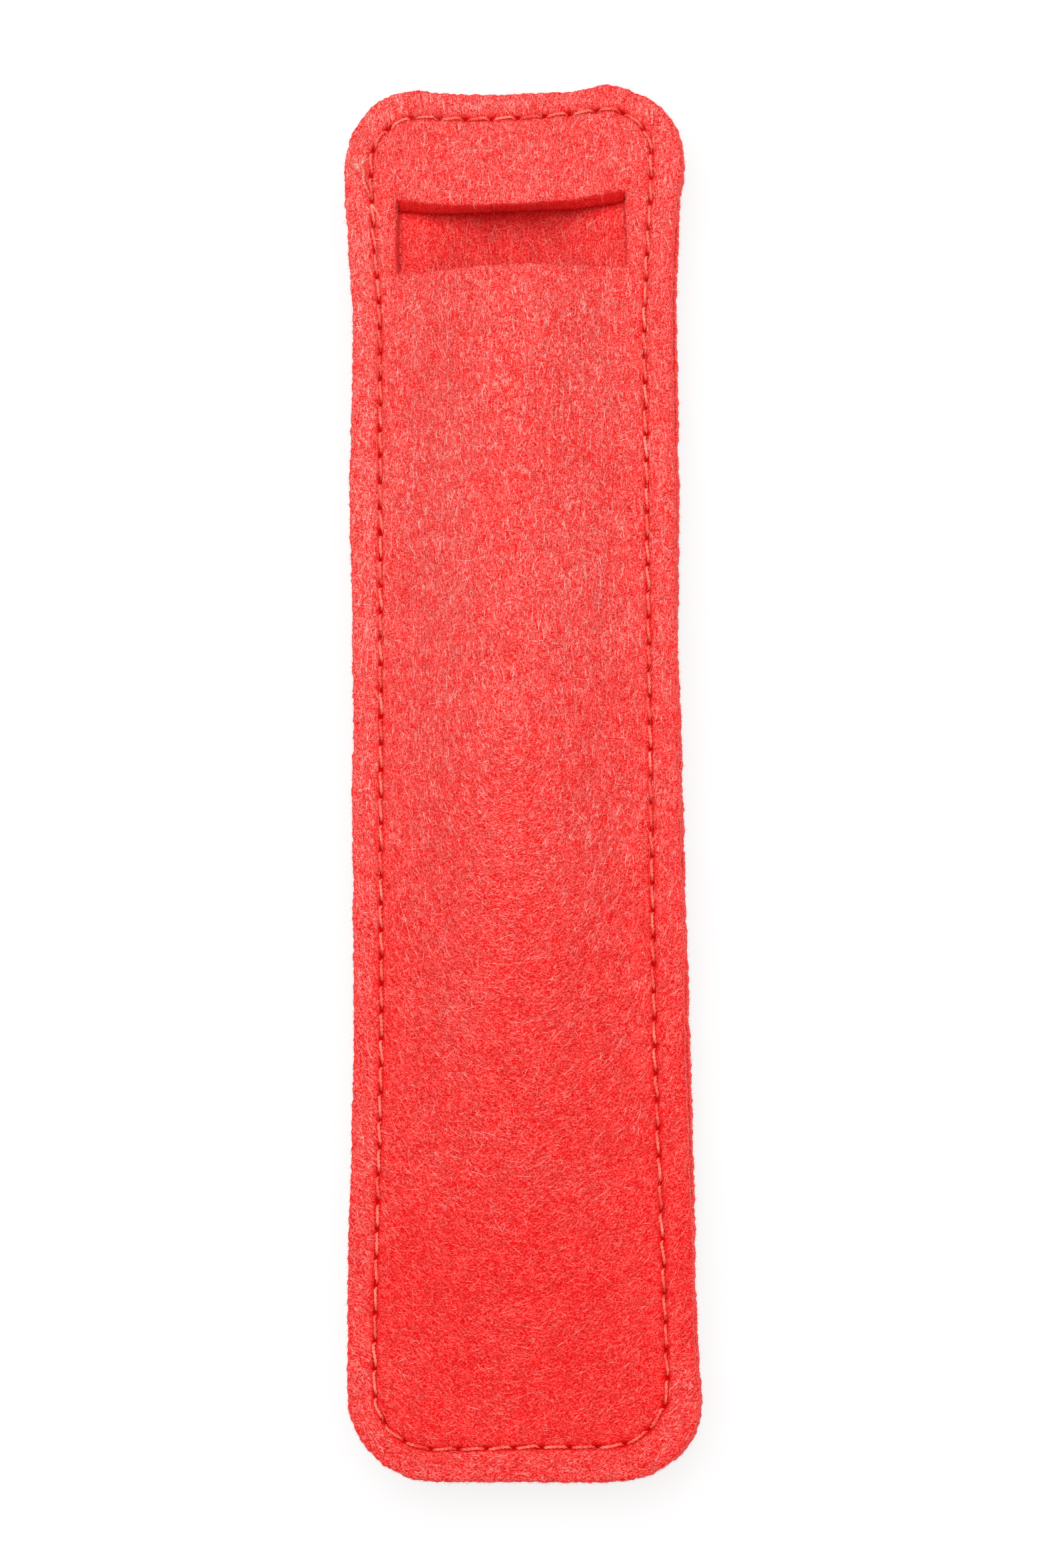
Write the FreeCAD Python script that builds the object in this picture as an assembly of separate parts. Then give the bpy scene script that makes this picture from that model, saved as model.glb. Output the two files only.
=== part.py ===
"""A slim felt sleeve: two felt panels of the same cut, joined by one lockstitched seam.

The sleeve lies on its back. X runs across it, Y along it towards the window end, and Z up out of its front.
The origin is the middle of its footprint on the table. All sizes are in millimetres.

Between the seams the two panels stand apart as a pocket. Its way in is a rectangular window cut near the top
of the front panel, whose lower edge is the pocket's mouth.
"""
import FreeCAD, Part
import math
import os
from FreeCAD import Vector

# Panels: the same outline is cut from felt twice
length = 165.0
width_top = 39.8            # across the shoulders of the top corners
width_waist = 37.7          # where the full pocket draws the panels in most
width_bottom = 39.5         # across the shoulders of the bottom corners
waist_upper_drop = 31.0     # from the top edge down to where the waist begins
waist_lower_drop = 110.0    # from the top edge down to where it ends
corner_radius_top = 8.8
corner_radius_bottom = 10.0
top_edge_dip = 0.6          # the top edge sags a little between its corners
felt_thickness = 2.0

# Pocket: how far each panel stands off the plane in which they meet
front_rise = 6.5
back_rise = 5.5
front_fill = 11.0           # the front grows to its full height over this length below the window's upper edge
back_fill = 26.0            # the back grows to its full height over this length below the top seam
tip_fill = 92.0             # both shrink to nothing over this length above the bottom seam
floor_press = 1.6           # how much fuller the back would hang if the table did not press it flat
floor_blend = 0.35          # how softly the flat floor turns up into the sides
skim = 0.06                 # shaved off where a face is truly flat: the floor, and where the panels meet

# Window in the front panel
window_drop = 13.1          # from the top edge down to the window's upper edge
window_height = 9.2
window_side_strip = 2.4     # felt left between the seam and the window's side

# Seam
seam_margin_side = 3.1
seam_margin_top = 2.7
seam_margin_bottom = 3.8
seam_pinch = 1.0            # the stitches hold the felt flat this far each side of the seam
stitch_pitch = 3.15
thread_diameter = 0.36
thread_bend = 0.25          # radius of the thread's centreline where it turns
thread_clearance = 0.02
lap_stitches = 3            # the seam's end runs this many stitches beside its start
seam_start_drop = 12.6      # from the top edge down the left side to the first hole
tail_length = 4.2           # the loose end on the front
tail_spread = 1.3           # how far the loose end strays outwards

# Modelling
grid_step_x = 1.4
grid_step_y = 2.6
tool_margin = 3.0
tool_height = 60.0

half_length = length / 2
thread_radius = thread_diameter / 2
meeting_plane = felt_thickness + back_rise - 2 * skim
seam_top_y = half_length - seam_margin_top
seam_bottom_y = seam_margin_bottom - half_length
window_top_y = half_length - window_drop
mouth_y = window_top_y - window_height

# The four legs of thread in one needle hole stand at the corners of a square
leg_offset = (thread_diameter + 2 * thread_clearance) / math.sqrt(2)
needle_hole_radius = math.sqrt(2) * leg_offset + thread_radius + 1.5 * thread_clearance
lap_offset = needle_hole_radius + thread_radius + 5 * thread_clearance


def smooth(share):
    """0 to 1 with no slope at either end."""
    share = min(max(share, 0.0), 1.0)
    return share * share * (3 - 2 * share)


def half_width(y):
    """Half the width of the panels at y, drawn in at the waist by the full pocket."""
    upper_y = half_length - waist_upper_drop
    lower_y = half_length - waist_lower_drop
    if y >= upper_y:
        widening = smooth((y - upper_y) / (half_length - corner_radius_top - upper_y))
        return (width_waist + (width_top - width_waist) * widening) / 2
    run = lower_y + half_length - corner_radius_bottom
    widening = smooth((lower_y - y) / run)
    return (width_waist + (width_bottom - width_waist) * widening) / 2


def bulge(x, y, start_y, fill):
    """Share of the pocket's full height at a point.

    Across the pocket it is a bell, 0 at the seams. Along it, the share grows from 0 at start_y to 1 over the
    length fill, and fades again towards the bottom seam.
    """
    reach = half_width(y) - seam_margin_side - seam_pinch
    across = min(abs(x) / reach, 1.0)
    bell = (1 + math.cos(math.pi * across)) / 2
    above_bottom = y - seam_bottom_y - seam_pinch
    tip = 1 - (1 - smooth(above_bottom / tip_fill)) ** 2
    return bell * tip * smooth((start_y - y) / fill)


def pressed_flat(share):
    """Follows share up to near 1, then levels off at 1, as felt does on a table."""
    low = 1 - floor_blend
    high = 1 + floor_blend
    if share <= low:
        return share
    if share >= high:
        return 1.0
    return 1 - (high - share) ** 2 / (4 * floor_blend)


def front_inside(x, y):
    """The front panel's inner face. Where the panels meet it lies a skim too low, to be cut flat."""
    return meeting_plane - skim + front_rise * bulge(x, y, window_top_y, front_fill)


def back_inside(x, y):
    """The back panel's inner face. Where the panels meet it lies a skim too high, to be cut flat."""
    share = pressed_flat(floor_press * bulge(x, y, seam_top_y - seam_pinch, back_fill))
    return meeting_plane + skim - back_rise * share


def outside(inside, side, x, y):
    """The face one felt thickness from inside, measured square to the felt. side is 1 above, -1 below."""
    step = 0.05
    slope_x = (inside(x + step, y) - inside(x - step, y)) / (2 * step)
    slope_y = (inside(x, y + step) - inside(x, y - step)) / (2 * step)
    return inside(x, y) + side * felt_thickness * math.sqrt(1 + slope_x ** 2 + slope_y ** 2)


def stations(reach, step):
    count = 2 * math.ceil(reach / step)
    return [-reach + 2 * reach * i / count for i in range(count + 1)]


def space_above(height):
    """Everything above the surface height(x, y)."""
    xs = stations(max(width_top, width_bottom) / 2 + tool_margin, grid_step_x)
    ys = stations(half_length + tool_margin, grid_step_y)
    surface = Part.BSplineSurface()
    surface.interpolate([[Vector(x, y, height(x, y)) for y in ys] for x in xs])
    return surface.toShape().extrude(Vector(0, 0, tool_height))


def corner(centre_x, centre_y, radius, start_degrees):
    """A quarter circle, turning anticlockwise."""
    angles = [math.radians(start_degrees + turn) for turn in (0, 45, 90)]
    places = [Vector(centre_x + radius * math.cos(a), centre_y + radius * math.sin(a), 0) for a in angles]
    return Part.Arc(*places).toShape()


def outline_edges(margin_side, margin_top, margin_bottom):
    """The panels' outline, or a line inside it, anticlockwise from the top of its left side."""
    top_y = half_length - margin_top
    bottom_y = margin_bottom - half_length
    radius_top = corner_radius_top - margin_side
    radius_bottom = corner_radius_bottom - margin_side
    side_top_y = top_y - radius_top
    side_bottom_y = bottom_y + radius_bottom
    bends = 14
    side_ys = [side_top_y + (side_bottom_y - side_top_y) * i / bends for i in range(bends + 1)]
    right = [Vector(half_width(y) - margin_side, y, 0) for y in side_ys]
    left = [Vector(-place.x, place.y, 0) for place in right]
    left_side = Part.BSplineCurve()
    left_side.interpolate(left)
    right_side = Part.BSplineCurve()
    right_side.interpolate(right[::-1])
    top_x = right[0].x - radius_top
    bottom_x = right[-1].x - radius_bottom
    dip = Vector(0, top_y - top_edge_dip, 0)
    return [
        left_side.toShape(),
        corner(-bottom_x, side_bottom_y, radius_bottom, 180),
        Part.LineSegment(Vector(-bottom_x, bottom_y, 0), Vector(bottom_x, bottom_y, 0)).toShape(),
        corner(bottom_x, side_bottom_y, radius_bottom, 270),
        right_side.toShape(),
        corner(top_x, side_top_y, radius_top, 0),
        Part.Arc(Vector(top_x, top_y, 0), dip, Vector(-top_x, top_y, 0)).toShape(),
        corner(-top_x, side_top_y, radius_top, 90),
    ]


def panel_prism(low_z, high_z):
    outline = Part.Wire(outline_edges(0, 0, 0))
    outline.translate(Vector(0, 0, low_z))
    return Part.Face(outline).extrude(Vector(0, 0, high_z - low_z))


def window():
    reach = half_width(mouth_y) - seam_margin_side - window_side_strip
    return Part.makeBox(2 * reach, window_height, tool_height, Vector(-reach, mouth_y, 0))


def seam_frames():
    """For each needle hole in sewing order: its centre, the sewing direction, and the way in from the edge."""
    loop = Part.Wire(outline_edges(seam_margin_side, seam_margin_top, seam_margin_bottom))
    stitch_count = round(loop.Length / stitch_pitch)
    half_steps = loop.discretize(Number=2 * stitch_count + 1)[:-1]
    start_y = half_length - seam_start_drop
    on_left = [i for i, place in enumerate(half_steps) if place.x < 0 and place.y > 0]
    start = min(on_left, key=lambda i: abs(half_steps[i].y - start_y))

    def frame(half_step, inwards):
        here = (start + half_step) % len(half_steps)
        ahead = half_steps[(here + 1) % len(half_steps)]
        along = (ahead - half_steps[here - 1]).normalize()
        inward = Vector(-along.y, along.x, 0)
        return half_steps[here] + inward * inwards, along, inward

    frames = [frame(2 * i, 0.0) for i in range(stitch_count)]
    frames += [frame(2 * i - 1, lap_offset) for i in range(lap_stitches)]
    return frames


def thread_route(frames, side):
    """Corners of one thread's route. side is 1 for the needle thread on the front, -1 for the bobbin thread.

    In each hole the two threads hook round each other halfway through the felt.
    """
    surface_z = meeting_plane + side * (felt_thickness + thread_radius + thread_clearance)
    hook_z = meeting_plane - side * (thread_radius + thread_clearance)
    route = []
    for centre, along, inward in frames:
        slant = inward * (side * leg_offset)
        down = centre - along * leg_offset + slant
        up = centre + along * leg_offset - slant
        route += [down + Vector(0, 0, surface_z), down + Vector(0, 0, hook_z)]
        route += [up + Vector(0, 0, hook_z), up + Vector(0, 0, surface_z)]
    _, along, inward = frames[0]
    loose_end = route[0] - along * tail_length - inward * tail_spread
    _, along, _ = frames[-1]
    stub = route[-1] + along * (3 * thread_bend)
    return [loose_end] + route + [stub]


def rounded_path(corners, radius):
    """Straight runs through corners, joined by tangent arcs of one radius."""
    edges = []
    start = corners[0]
    for before, here, after in zip(corners, corners[1:], corners[2:]):
        way_in = (here - before).normalize()
        way_out = (after - here).normalize()
        turn = way_in.getAngle(way_out)
        reach = radius * math.tan(turn / 2)
        inward = (way_out - way_in).normalize()
        middle = here + inward * (radius / math.cos(turn / 2) - radius)
        arc_start = here - way_in * reach
        arc_end = here + way_out * reach
        edges.append(Part.LineSegment(start, arc_start).toShape())
        edges.append(Part.Arc(arc_start, middle, arc_end).toShape())
        start = arc_end
    edges.append(Part.LineSegment(start, corners[-1]).toShape())
    return Part.Wire(edges)


def thread(frames, side):
    route = thread_route(frames, side)
    path = rounded_path(route, thread_bend)
    ring = Part.Circle(route[0], route[1] - route[0], thread_radius).toShape()
    solid = path.makePipeShell([Part.Wire([ring])], True, False)
    section = math.pi * thread_radius ** 2
    print(f"thread {path.Length:.0f} mm long, volume {solid.Volume / (section * path.Length):.4f} of its section")
    return solid


def needle_holes(frames):
    return [
        Part.makeCylinder(needle_hole_radius, tool_height, centre, Vector(0, 0, 1))
        for centre, along, inward in frames
    ]


def front_panel(holes):
    above_meeting = panel_prism(meeting_plane, tool_height / 2)
    above_inside = space_above(front_inside)
    above_outside = space_above(lambda x, y: outside(front_inside, 1, x, y))
    return above_meeting.common(above_inside).cut(above_outside).cut(window()).cut(holes)


def back_panel(holes):
    below_meeting = panel_prism(0, meeting_plane)
    above_outside = space_above(lambda x, y: outside(back_inside, -1, x, y))
    above_inside = space_above(back_inside)
    return below_meeting.common(above_outside).cut(above_inside).cut(holes)


def main():
    os.makedirs("parts", exist_ok=True)
    frames = seam_frames()
    holes = needle_holes(frames)
    pieces = {
        "front_panel": front_panel(holes),
        "back_panel": back_panel(holes),
        "needle_thread": thread(frames, 1),
        "bobbin_thread": thread(frames, -1),
    }
    for name, piece in pieces.items():
        solids = piece.Solids
        if len(solids) != 1 or not solids[0].isValid():
            raise ValueError(f"{name} is {len(solids)} solids, valid: {[s.isValid() for s in solids]}")
        solids[0].exportStep(f"parts/{name}.step")
        box = piece.BoundBox
        print(f"{name}: {box.XLength:.2f} x {box.YLength:.2f} x {box.ZLength:.2f}, from z {box.ZMin:.3f}")
    print(f"{len(frames)} needle holes, radius {needle_hole_radius:.3f}; parts meet at z {meeting_plane:.2f}")


main()
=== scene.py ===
# %% [markdown]
# # A slim felt sleeve
# The real sleeve is two pieces of needled felt, cut alike and joined by one lockstitched seam. Everything
# that the eye reads as "felt" is small: pale fibres lying every way over a red ground, a groove where the
# stitches squeeze the cloth, and a furry cut edge. The shape itself is simple, so most of this lesson is
# about those.
#
# The CAD frame gives the size and the place of each piece. Here each felt panel and each thread is replaced
# by a modelled mesh that fills the same space.

# %% Load the frame
import math
import bmesh
import bpy
import numpy as np
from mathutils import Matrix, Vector, noise
from mathutils.geometry import delaunay_2d_cdt
from mathutils.kdtree import KDTree


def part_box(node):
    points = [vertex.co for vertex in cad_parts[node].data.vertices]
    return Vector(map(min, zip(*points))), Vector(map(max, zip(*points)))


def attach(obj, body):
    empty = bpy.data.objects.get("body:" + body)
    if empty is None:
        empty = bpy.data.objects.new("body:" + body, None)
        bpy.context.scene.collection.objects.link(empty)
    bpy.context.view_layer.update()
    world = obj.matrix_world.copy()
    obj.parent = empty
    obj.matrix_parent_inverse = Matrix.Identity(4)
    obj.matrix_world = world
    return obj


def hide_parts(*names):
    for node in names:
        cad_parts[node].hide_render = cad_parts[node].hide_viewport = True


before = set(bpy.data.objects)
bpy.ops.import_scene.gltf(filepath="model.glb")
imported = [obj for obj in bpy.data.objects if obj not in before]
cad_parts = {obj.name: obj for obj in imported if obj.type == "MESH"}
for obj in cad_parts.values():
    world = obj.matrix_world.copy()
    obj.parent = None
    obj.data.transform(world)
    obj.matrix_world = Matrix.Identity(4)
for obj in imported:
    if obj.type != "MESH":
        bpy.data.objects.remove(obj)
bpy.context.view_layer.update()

MM = 0.001


def in_mm(length, digits=2):
    return round(length / MM, digits)


# %% [markdown]
# ## Sizes
# A felt sleeve is drawn flat first, as its cutter would: an outline, a window, and a seam line a few
# millimetres inside the edge. Lengths here are metres, written as so many MM, and the overall size and the
# plane where the two panels meet are read from the frame, so that they can't drift from it.

# %% Sizes of the sleeve
front_low, front_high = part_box("front_panel")
half_length = front_high[1]
meeting_plane = front_low[2]
felt_thickness = 2.0 * MM
width_top = 39.8 * MM
width_waist = 37.7 * MM
width_bottom = 39.5 * MM
waist_upper_y = half_length - 31.0 * MM
waist_lower_y = half_length - 110.0 * MM
corner_radius_top = 8.8 * MM
corner_radius_bottom = 10.0 * MM
top_edge_dip = 0.6 * MM

front_rise = 6.5 * MM
back_rise = meeting_plane - felt_thickness
front_fill = 11.0 * MM
back_fill = 26.0 * MM
tip_fill = 92.0 * MM
floor_press = 1.6
floor_blend = 0.35
strip_lift = 0.5 * MM

window_top_y = half_length - 13.1 * MM
mouth_y = window_top_y - 9.2 * MM
window_side_strip = 2.4 * MM

seam_margin_side = 3.1 * MM
seam_margin_top = 2.7 * MM
seam_margin_bottom = 3.8 * MM
seam_pinch = 1.0 * MM
seam_start_y = half_length - 12.6 * MM
stitch_pitch = 3.15 * MM
thread_diameter = 0.36 * MM

seam_top_y = half_length - seam_margin_top
seam_bottom_y = seam_margin_bottom - half_length
print("felt", in_mm(2 * half_length, 1), "mm long, panels meet at z", in_mm(meeting_plane), "mm")

# %% [markdown]
# ## The shape as rules
# The pocket's shape follows a rule, so it is written as one. Across the pocket each panel stands off in a
# bell: flat at the seams, highest in the middle. Along it, the bell grows from the window down and fades
# towards the bottom seam. Writing heights as functions of x and y on whole numpy arrays means that the same
# rule can place ten points or a hundred thousand.


# %% Heights of the felt
def smooth(share):
    """0 to 1 with no slope at either end."""
    share = np.clip(share, 0.0, 1.0)
    return share * share * (3 - 2 * share)


def half_width(y):
    upper = smooth((y - waist_upper_y) / (half_length - corner_radius_top - waist_upper_y))
    lower = smooth((waist_lower_y - y) / (waist_lower_y + half_length - corner_radius_bottom))
    return (width_waist + (width_top - width_waist) * upper + (width_bottom - width_waist) * lower) / 2


def bell(x, y):
    reach = half_width(y) - seam_margin_side - seam_pinch
    return (1 + np.cos(np.pi * np.minimum(np.abs(x) / reach, 1.0))) / 2


def bulge(x, y, start_y, fill):
    tip = 1 - (1 - smooth((y - seam_bottom_y - seam_pinch) / tip_fill)) ** 2
    return bell(x, y) * tip * smooth((start_y - y) / fill)


def pressed_flat(share):
    """Follows share up to near 1, then levels off at 1, as felt does on a table."""
    high = 1 + floor_blend
    near = 1 - np.maximum(high - share, 0.0) ** 2 / (4 * floor_blend)
    return np.where(share <= 1 - floor_blend, share, near)


def front_inside(x, y):
    """The front panel's inner face. The strip above the window stays a little lifted, as use leaves it."""
    along = smooth((seam_top_y - seam_pinch - y) / (seam_top_y - seam_pinch - window_top_y))
    along = along * smooth((y - mouth_y) / (window_top_y - mouth_y))
    lift = strip_lift * bell(x, y) * along
    return meeting_plane + front_rise * bulge(x, y, window_top_y, front_fill) + lift


def back_inside(x, y):
    share = pressed_flat(floor_press * bulge(x, y, seam_top_y - seam_pinch, back_fill))
    return meeting_plane - back_rise * share


def outside(inside, side, x, y):
    """The face one felt thickness from inside, measured square to the felt. side is 1 above, -1 below."""
    step = 0.05 * MM
    slope_x = (inside(x + step, y) - inside(x - step, y)) / (2 * step)
    slope_y = (inside(x, y + step) - inside(x, y - step)) / (2 * step)
    return inside(x, y) + side * felt_thickness * np.sqrt(1 + slope_x ** 2 + slope_y ** 2)


crown = outside(front_inside, 1, np.array([0.0]), np.array([0.0]))[0]
print("front crown at", in_mm(crown), "mm, frame says", in_mm(front_high[2]), "mm")

# %% [markdown]
# ## Lines on the felt
# The outline, the window and the seam are all closed lines. Each is kept as evenly spaced points with, at
# each point, the way along and the way in from the edge. With those, "how far is this point from the seam,
# and how far round it" is one nearest-point search, and every groove, pucker and ragged edge below uses it.


# %% Lines and distances
def evenly_spaced(corners, spacing, closed=True):
    corners = np.asarray(corners)
    if closed:
        corners = np.vstack([corners, corners[:1]])
    run = np.concatenate([[0.0], np.cumsum(np.linalg.norm(np.diff(corners, axis=0), axis=1))])
    count = max(1, round(run[-1] / spacing))
    stops = np.linspace(0, run[-1], count + 1)
    points = np.column_stack([np.interp(stops, run, corners[:, 0]), np.interp(stops, run, corners[:, 1])])
    return points[:-1] if closed else points


quarter_points = 60
side_points = 300
top_points = 120


def quarter(centre_x, centre_y, radius, start_degrees):
    angles = np.radians(start_degrees + np.linspace(0, 90, quarter_points))
    return np.column_stack([centre_x + radius * np.cos(angles), centre_y + radius * np.sin(angles)])


def outline(margin_side, margin_top, margin_bottom):
    """The panels' outline, or a line inside it, anticlockwise from the top of its left side."""
    top_y, bottom_y = half_length - margin_top, margin_bottom - half_length
    radius_top, radius_bottom = corner_radius_top - margin_side, corner_radius_bottom - margin_side
    side_y = np.linspace(top_y - radius_top, bottom_y + radius_bottom, side_points)
    side_x = half_width(side_y) - margin_side
    top_x, bottom_x = side_x[0] - radius_top, side_x[-1] - radius_bottom
    across = np.linspace(top_x, -top_x, top_points)
    dip = top_y - top_edge_dip * (1 - (across / top_x) ** 2)
    return np.vstack([
        np.column_stack([-side_x, side_y]),
        quarter(-bottom_x, side_y[-1], radius_bottom, 180)[1:],
        quarter(bottom_x, side_y[-1], radius_bottom, 270),
        np.column_stack([side_x, side_y])[::-1][1:],
        quarter(top_x, side_y[0], radius_top, 0)[1:],
        np.column_stack([across, dip])[1:-1],
        quarter(-top_x, side_y[0], radius_top, 90)[:-1],
    ])


class ClosedLine:
    """Evenly spaced points of a closed line, with the way along it and the way inwards at each."""

    def __init__(self, corners, spacing, inwards=1):
        self.points = evenly_spaced(corners, spacing)
        ahead, behind = np.roll(self.points, -1, 0), np.roll(self.points, 1, 0)
        along = ahead - behind
        self.along = along / np.linalg.norm(along, axis=1)[:, None]
        self.inward = inwards * np.column_stack([-self.along[:, 1], self.along[:, 0]])
        steps = np.linalg.norm(ahead - self.points, axis=1)
        self.length = steps.sum()
        self.arc = np.concatenate([[0.0], np.cumsum(steps)[:-1]])
        self.tree = KDTree(len(self.points))
        for index, (x, y) in enumerate(self.points):
            self.tree.insert((x, y, 0), index)
        self.tree.balance()

    def nearest(self, points):
        """For each point, the index of the line's nearest point, the distance inwards, and the arc length."""
        index = np.array([self.tree.find((x, y, 0))[1] for x, y in points])
        offset = points - self.points[index]
        inset = (offset * self.inward[index]).sum(1)
        arc = self.arc[index] + (offset * self.along[index]).sum(1)
        return index, inset, arc

    def distance(self, points):
        return np.array([self.tree.find((x, y, 0))[2] for x, y in points])


edge_spacing = 0.21 * MM
edge_line = ClosedLine(outline(0, 0, 0), edge_spacing)
seam_corners = outline(seam_margin_side, seam_margin_top, seam_margin_bottom)
start = np.argmin(np.abs(seam_corners[:side_points, 1] - seam_start_y))
seam_corners = np.roll(seam_corners, -start, axis=0)
seam_length = ClosedLine(seam_corners, edge_spacing).length
stitch_count = round(seam_length / stitch_pitch)
stitch_step = seam_length / stitch_count
points_per_stitch = 14
seam_line = ClosedLine(seam_corners, stitch_step / points_per_stitch)

window_reach = half_width(mouth_y) - seam_margin_side - window_side_strip
window_corners = [
    (-window_reach, window_top_y),
    (-window_reach, mouth_y),
    (window_reach, mouth_y),
    (window_reach, window_top_y),
]
window_line = ClosedLine(window_corners, edge_spacing, inwards=-1)
print(stitch_count, "stitches of", in_mm(stitch_step, 3), "mm; window", in_mm(2 * window_reach, 1), "mm wide")

# %% [markdown]
# ## A flat pattern of fine triangles
# Felt detail needs small faces, and smaller ones still along the seam and the cut edges. A grid can't follow
# a rounded outline with a hole in it, and a boolean leaves slivers. Constrained Delaunay triangulation takes
# any cloud of points plus the lines that triangles may not cross, and fills the pattern evenly. So the points
# are laid out by hand: rows beside each edge, rows beside the seam, and a honeycomb everywhere else.


# %% Flat pattern
comb_shake = 0.12
comb_margin = 2 * MM
comb_clearance = 0.6
merge_distance = 1e-4  # in millimetres


def rows_beside(line, insets):
    return np.vstack([line.points + line.inward * inset for inset in insets])


def honeycomb(step, seed):
    """Points spaced evenly over the sleeve, each shaken a little so that no direction shows."""
    shake = np.random.default_rng(seed)
    ys = np.arange(-half_length, half_length, step * math.sqrt(3) / 2)
    reach = half_width(0) + comb_margin
    rows = []
    for number, y in enumerate(ys):
        xs = np.arange(-reach, reach, step) + (number % 2) * step / 2
        rows.append(np.column_stack([xs, np.full_like(xs, y)]))
    points = np.vstack(rows)
    return points + shake.uniform(-comb_shake, comb_shake, points.shape) * step


def in_window(points):
    return (np.abs(points[:, 0]) < window_reach) & (points[:, 1] > mouth_y) & (points[:, 1] < window_top_y)


def flat_pattern(step, edge_insets, seam_insets, windowed, seed):
    """Points and triangles of a panel laid flat. The first points are its boundary lines, in order."""
    lines = [edge_line, window_line] if windowed else [edge_line]
    boundary = np.vstack([line.points for line in lines])
    inner = [rows_beside(line, edge_insets) for line in lines]
    if len(seam_insets):
        inner.append(rows_beside(seam_line, seam_insets))
    comb = honeycomb(step, seed)
    clearance = comb_clearance * step
    keep = edge_line.nearest(comb)[1] > max(edge_insets) + clearance
    if windowed:
        keep &= ~in_window(comb)
        keep &= window_line.distance(comb) > max(edge_insets) + clearance
    if len(seam_insets):
        keep &= seam_line.distance(comb) > max(seam_insets) + clearance
    points = np.vstack([boundary] + inner + [comb[keep]])
    edges = []
    first = 0
    for line in lines:
        count = len(line.points)
        edges += [(first + i, first + (i + 1) % count) for i in range(count)]
        first += count
    flat = [Vector(p) for p in points * (1 / MM)]
    result = delaunay_2d_cdt(flat, edges, [], 1, merge_distance)
    made, triangles, sources = result[0], np.array(result[2]), result[3]
    if len(made) != len(points):
        raise ValueError(f"the triangulation merged {len(points) - len(made)} points")
    order = np.array([source[0] for source in sources])
    triangles = order[triangles]
    if windowed:
        middles = points[triangles].mean(axis=1)
        triangles = triangles[~in_window(middles)]
    a, b, c = (points[triangles[:, i]] for i in range(3))
    area = (b[:, 0] - a[:, 0]) * (c[:, 1] - a[:, 1]) - (b[:, 1] - a[:, 1]) * (c[:, 0] - a[:, 0])
    triangles[area < 0] = triangles[area < 0][:, ::-1]
    return points, triangles, lines


fine_step = 0.46 * MM
coarse_step = 0.85 * MM
edge_insets = [0.16 * MM, 0.42 * MM, 0.74 * MM]
seam_insets = [inset * MM for inset in (-0.9, -0.6, -0.36, -0.18, 0.0, 0.18, 0.36, 0.6, 0.9)]
print(len(edge_insets), "rows beside each edge,", len(seam_insets), "along the seam")

# %% [markdown]
# ## The lay of the fibres
# Needled felt has a lay: below the mouth the fibres run down the sleeve, and lower down they swing round in
# flat U shapes. One number, rho, is constant along those curves, and another, s, grows along them. Stored on
# the mesh, they let a shader stretch its pattern along the fibres, and they tell the loose fibres which way
# to lie.

# %% Lay of the fibres
lay_centre_y = 5 * MM
lay_flatness = 0.48


def lay_of(x, y):
    """The way along the felt's fibres, as (s, rho, x), and the direction they lie in."""
    below = np.maximum(lay_centre_y - y, 0.0) * lay_flatness
    rho = np.hypot(x, below)
    turned = np.arctan2(below, np.abs(x) + 1e-9)
    s = np.maximum(y - lay_centre_y, 0.0) - rho * turned / lay_flatness
    way = np.column_stack([below * lay_flatness, x, np.zeros_like(x)])
    upright = np.column_stack([np.zeros_like(x), np.where(x < 0, -1.0, 1.0), np.zeros_like(x)])
    way = np.where((y >= lay_centre_y)[:, None], upright, way)
    way = way / np.maximum(np.linalg.norm(way, axis=1), 1e-9)[:, None]
    return np.column_stack([s, rho, x]), way


seam_lay = lay_of(np.array([0.0]), np.array([seam_bottom_y]))[1][0]
print("at the bottom seam the fibres lie along", [round(v, 2) for v in seam_lay])

# %% [markdown]
# ## Relief
# Felt is never flat at close range. From large to small there are: soft lumps a centimetre across, ridges
# along the lay, the groove that the seam presses, a dimple at each needle hole with a slight pillow between,
# and the edge, which rounds over where the knife left it. Each is a small height added to the rule.

# %% Relief of the faces
groove_depth = 0.30 * MM
groove_half = 0.42 * MM
groove_between_holes = 0.75
# The groove and the needle holes are painted a deeper red: painted shade over where the seam presses.
groove_darkness = 0.55
pit_depth = 0.75 * MM
pit_radius = 0.25 * MM
pit_stretch = 2.4
pillow_height = 0.16 * MM
pillow_inset = 1.7 * MM
pillow_half = 0.8 * MM
pillow_at_hole = 0.5
edge_round = 0.13 * MM
edge_reach = 0.45 * MM
lumps = [(0.18 * MM, 11 * MM), (0.09 * MM, 3.6 * MM), (0.035 * MM, 1.1 * MM)]  # height, size across
ridge_height = 0.06 * MM
ridge_size = np.array([3.2, 0.55, 4.0])  # along the fibres, across them and across the sleeve, in millimetres
nap_and_light_least = 0.17
# Painted light: the nap number rises towards the top, so the felt is painted paler there.
top_light_gain = 0.58
top_light_low_y = -68 * MM
top_light_span = 105 * MM
nap_patches = [(0.12, 13 * MM, 40), (0.08, 4.5 * MM, 41)]  # strength, size across, seed
nap_past_seam = 0.3
nap_past_seam_reach = 0.8 * MM
# Lower on the right flange, where the felt is darker.
less_on_right_flange = 0.28
right_from_x, right_span = -6 * MM, 20 * MM
right_from_y, right_rise = -72 * MM, 8 * MM


def noise_at(points, size, seed):
    """Smooth noise, about -1 to 1, whose lumps are size across."""
    return np.array([noise.noise(Vector((x / size, y / size, z / size + seed))) for x, y, z in points])


def with_z(points):
    return np.column_stack([points, np.zeros(len(points))])


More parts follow.
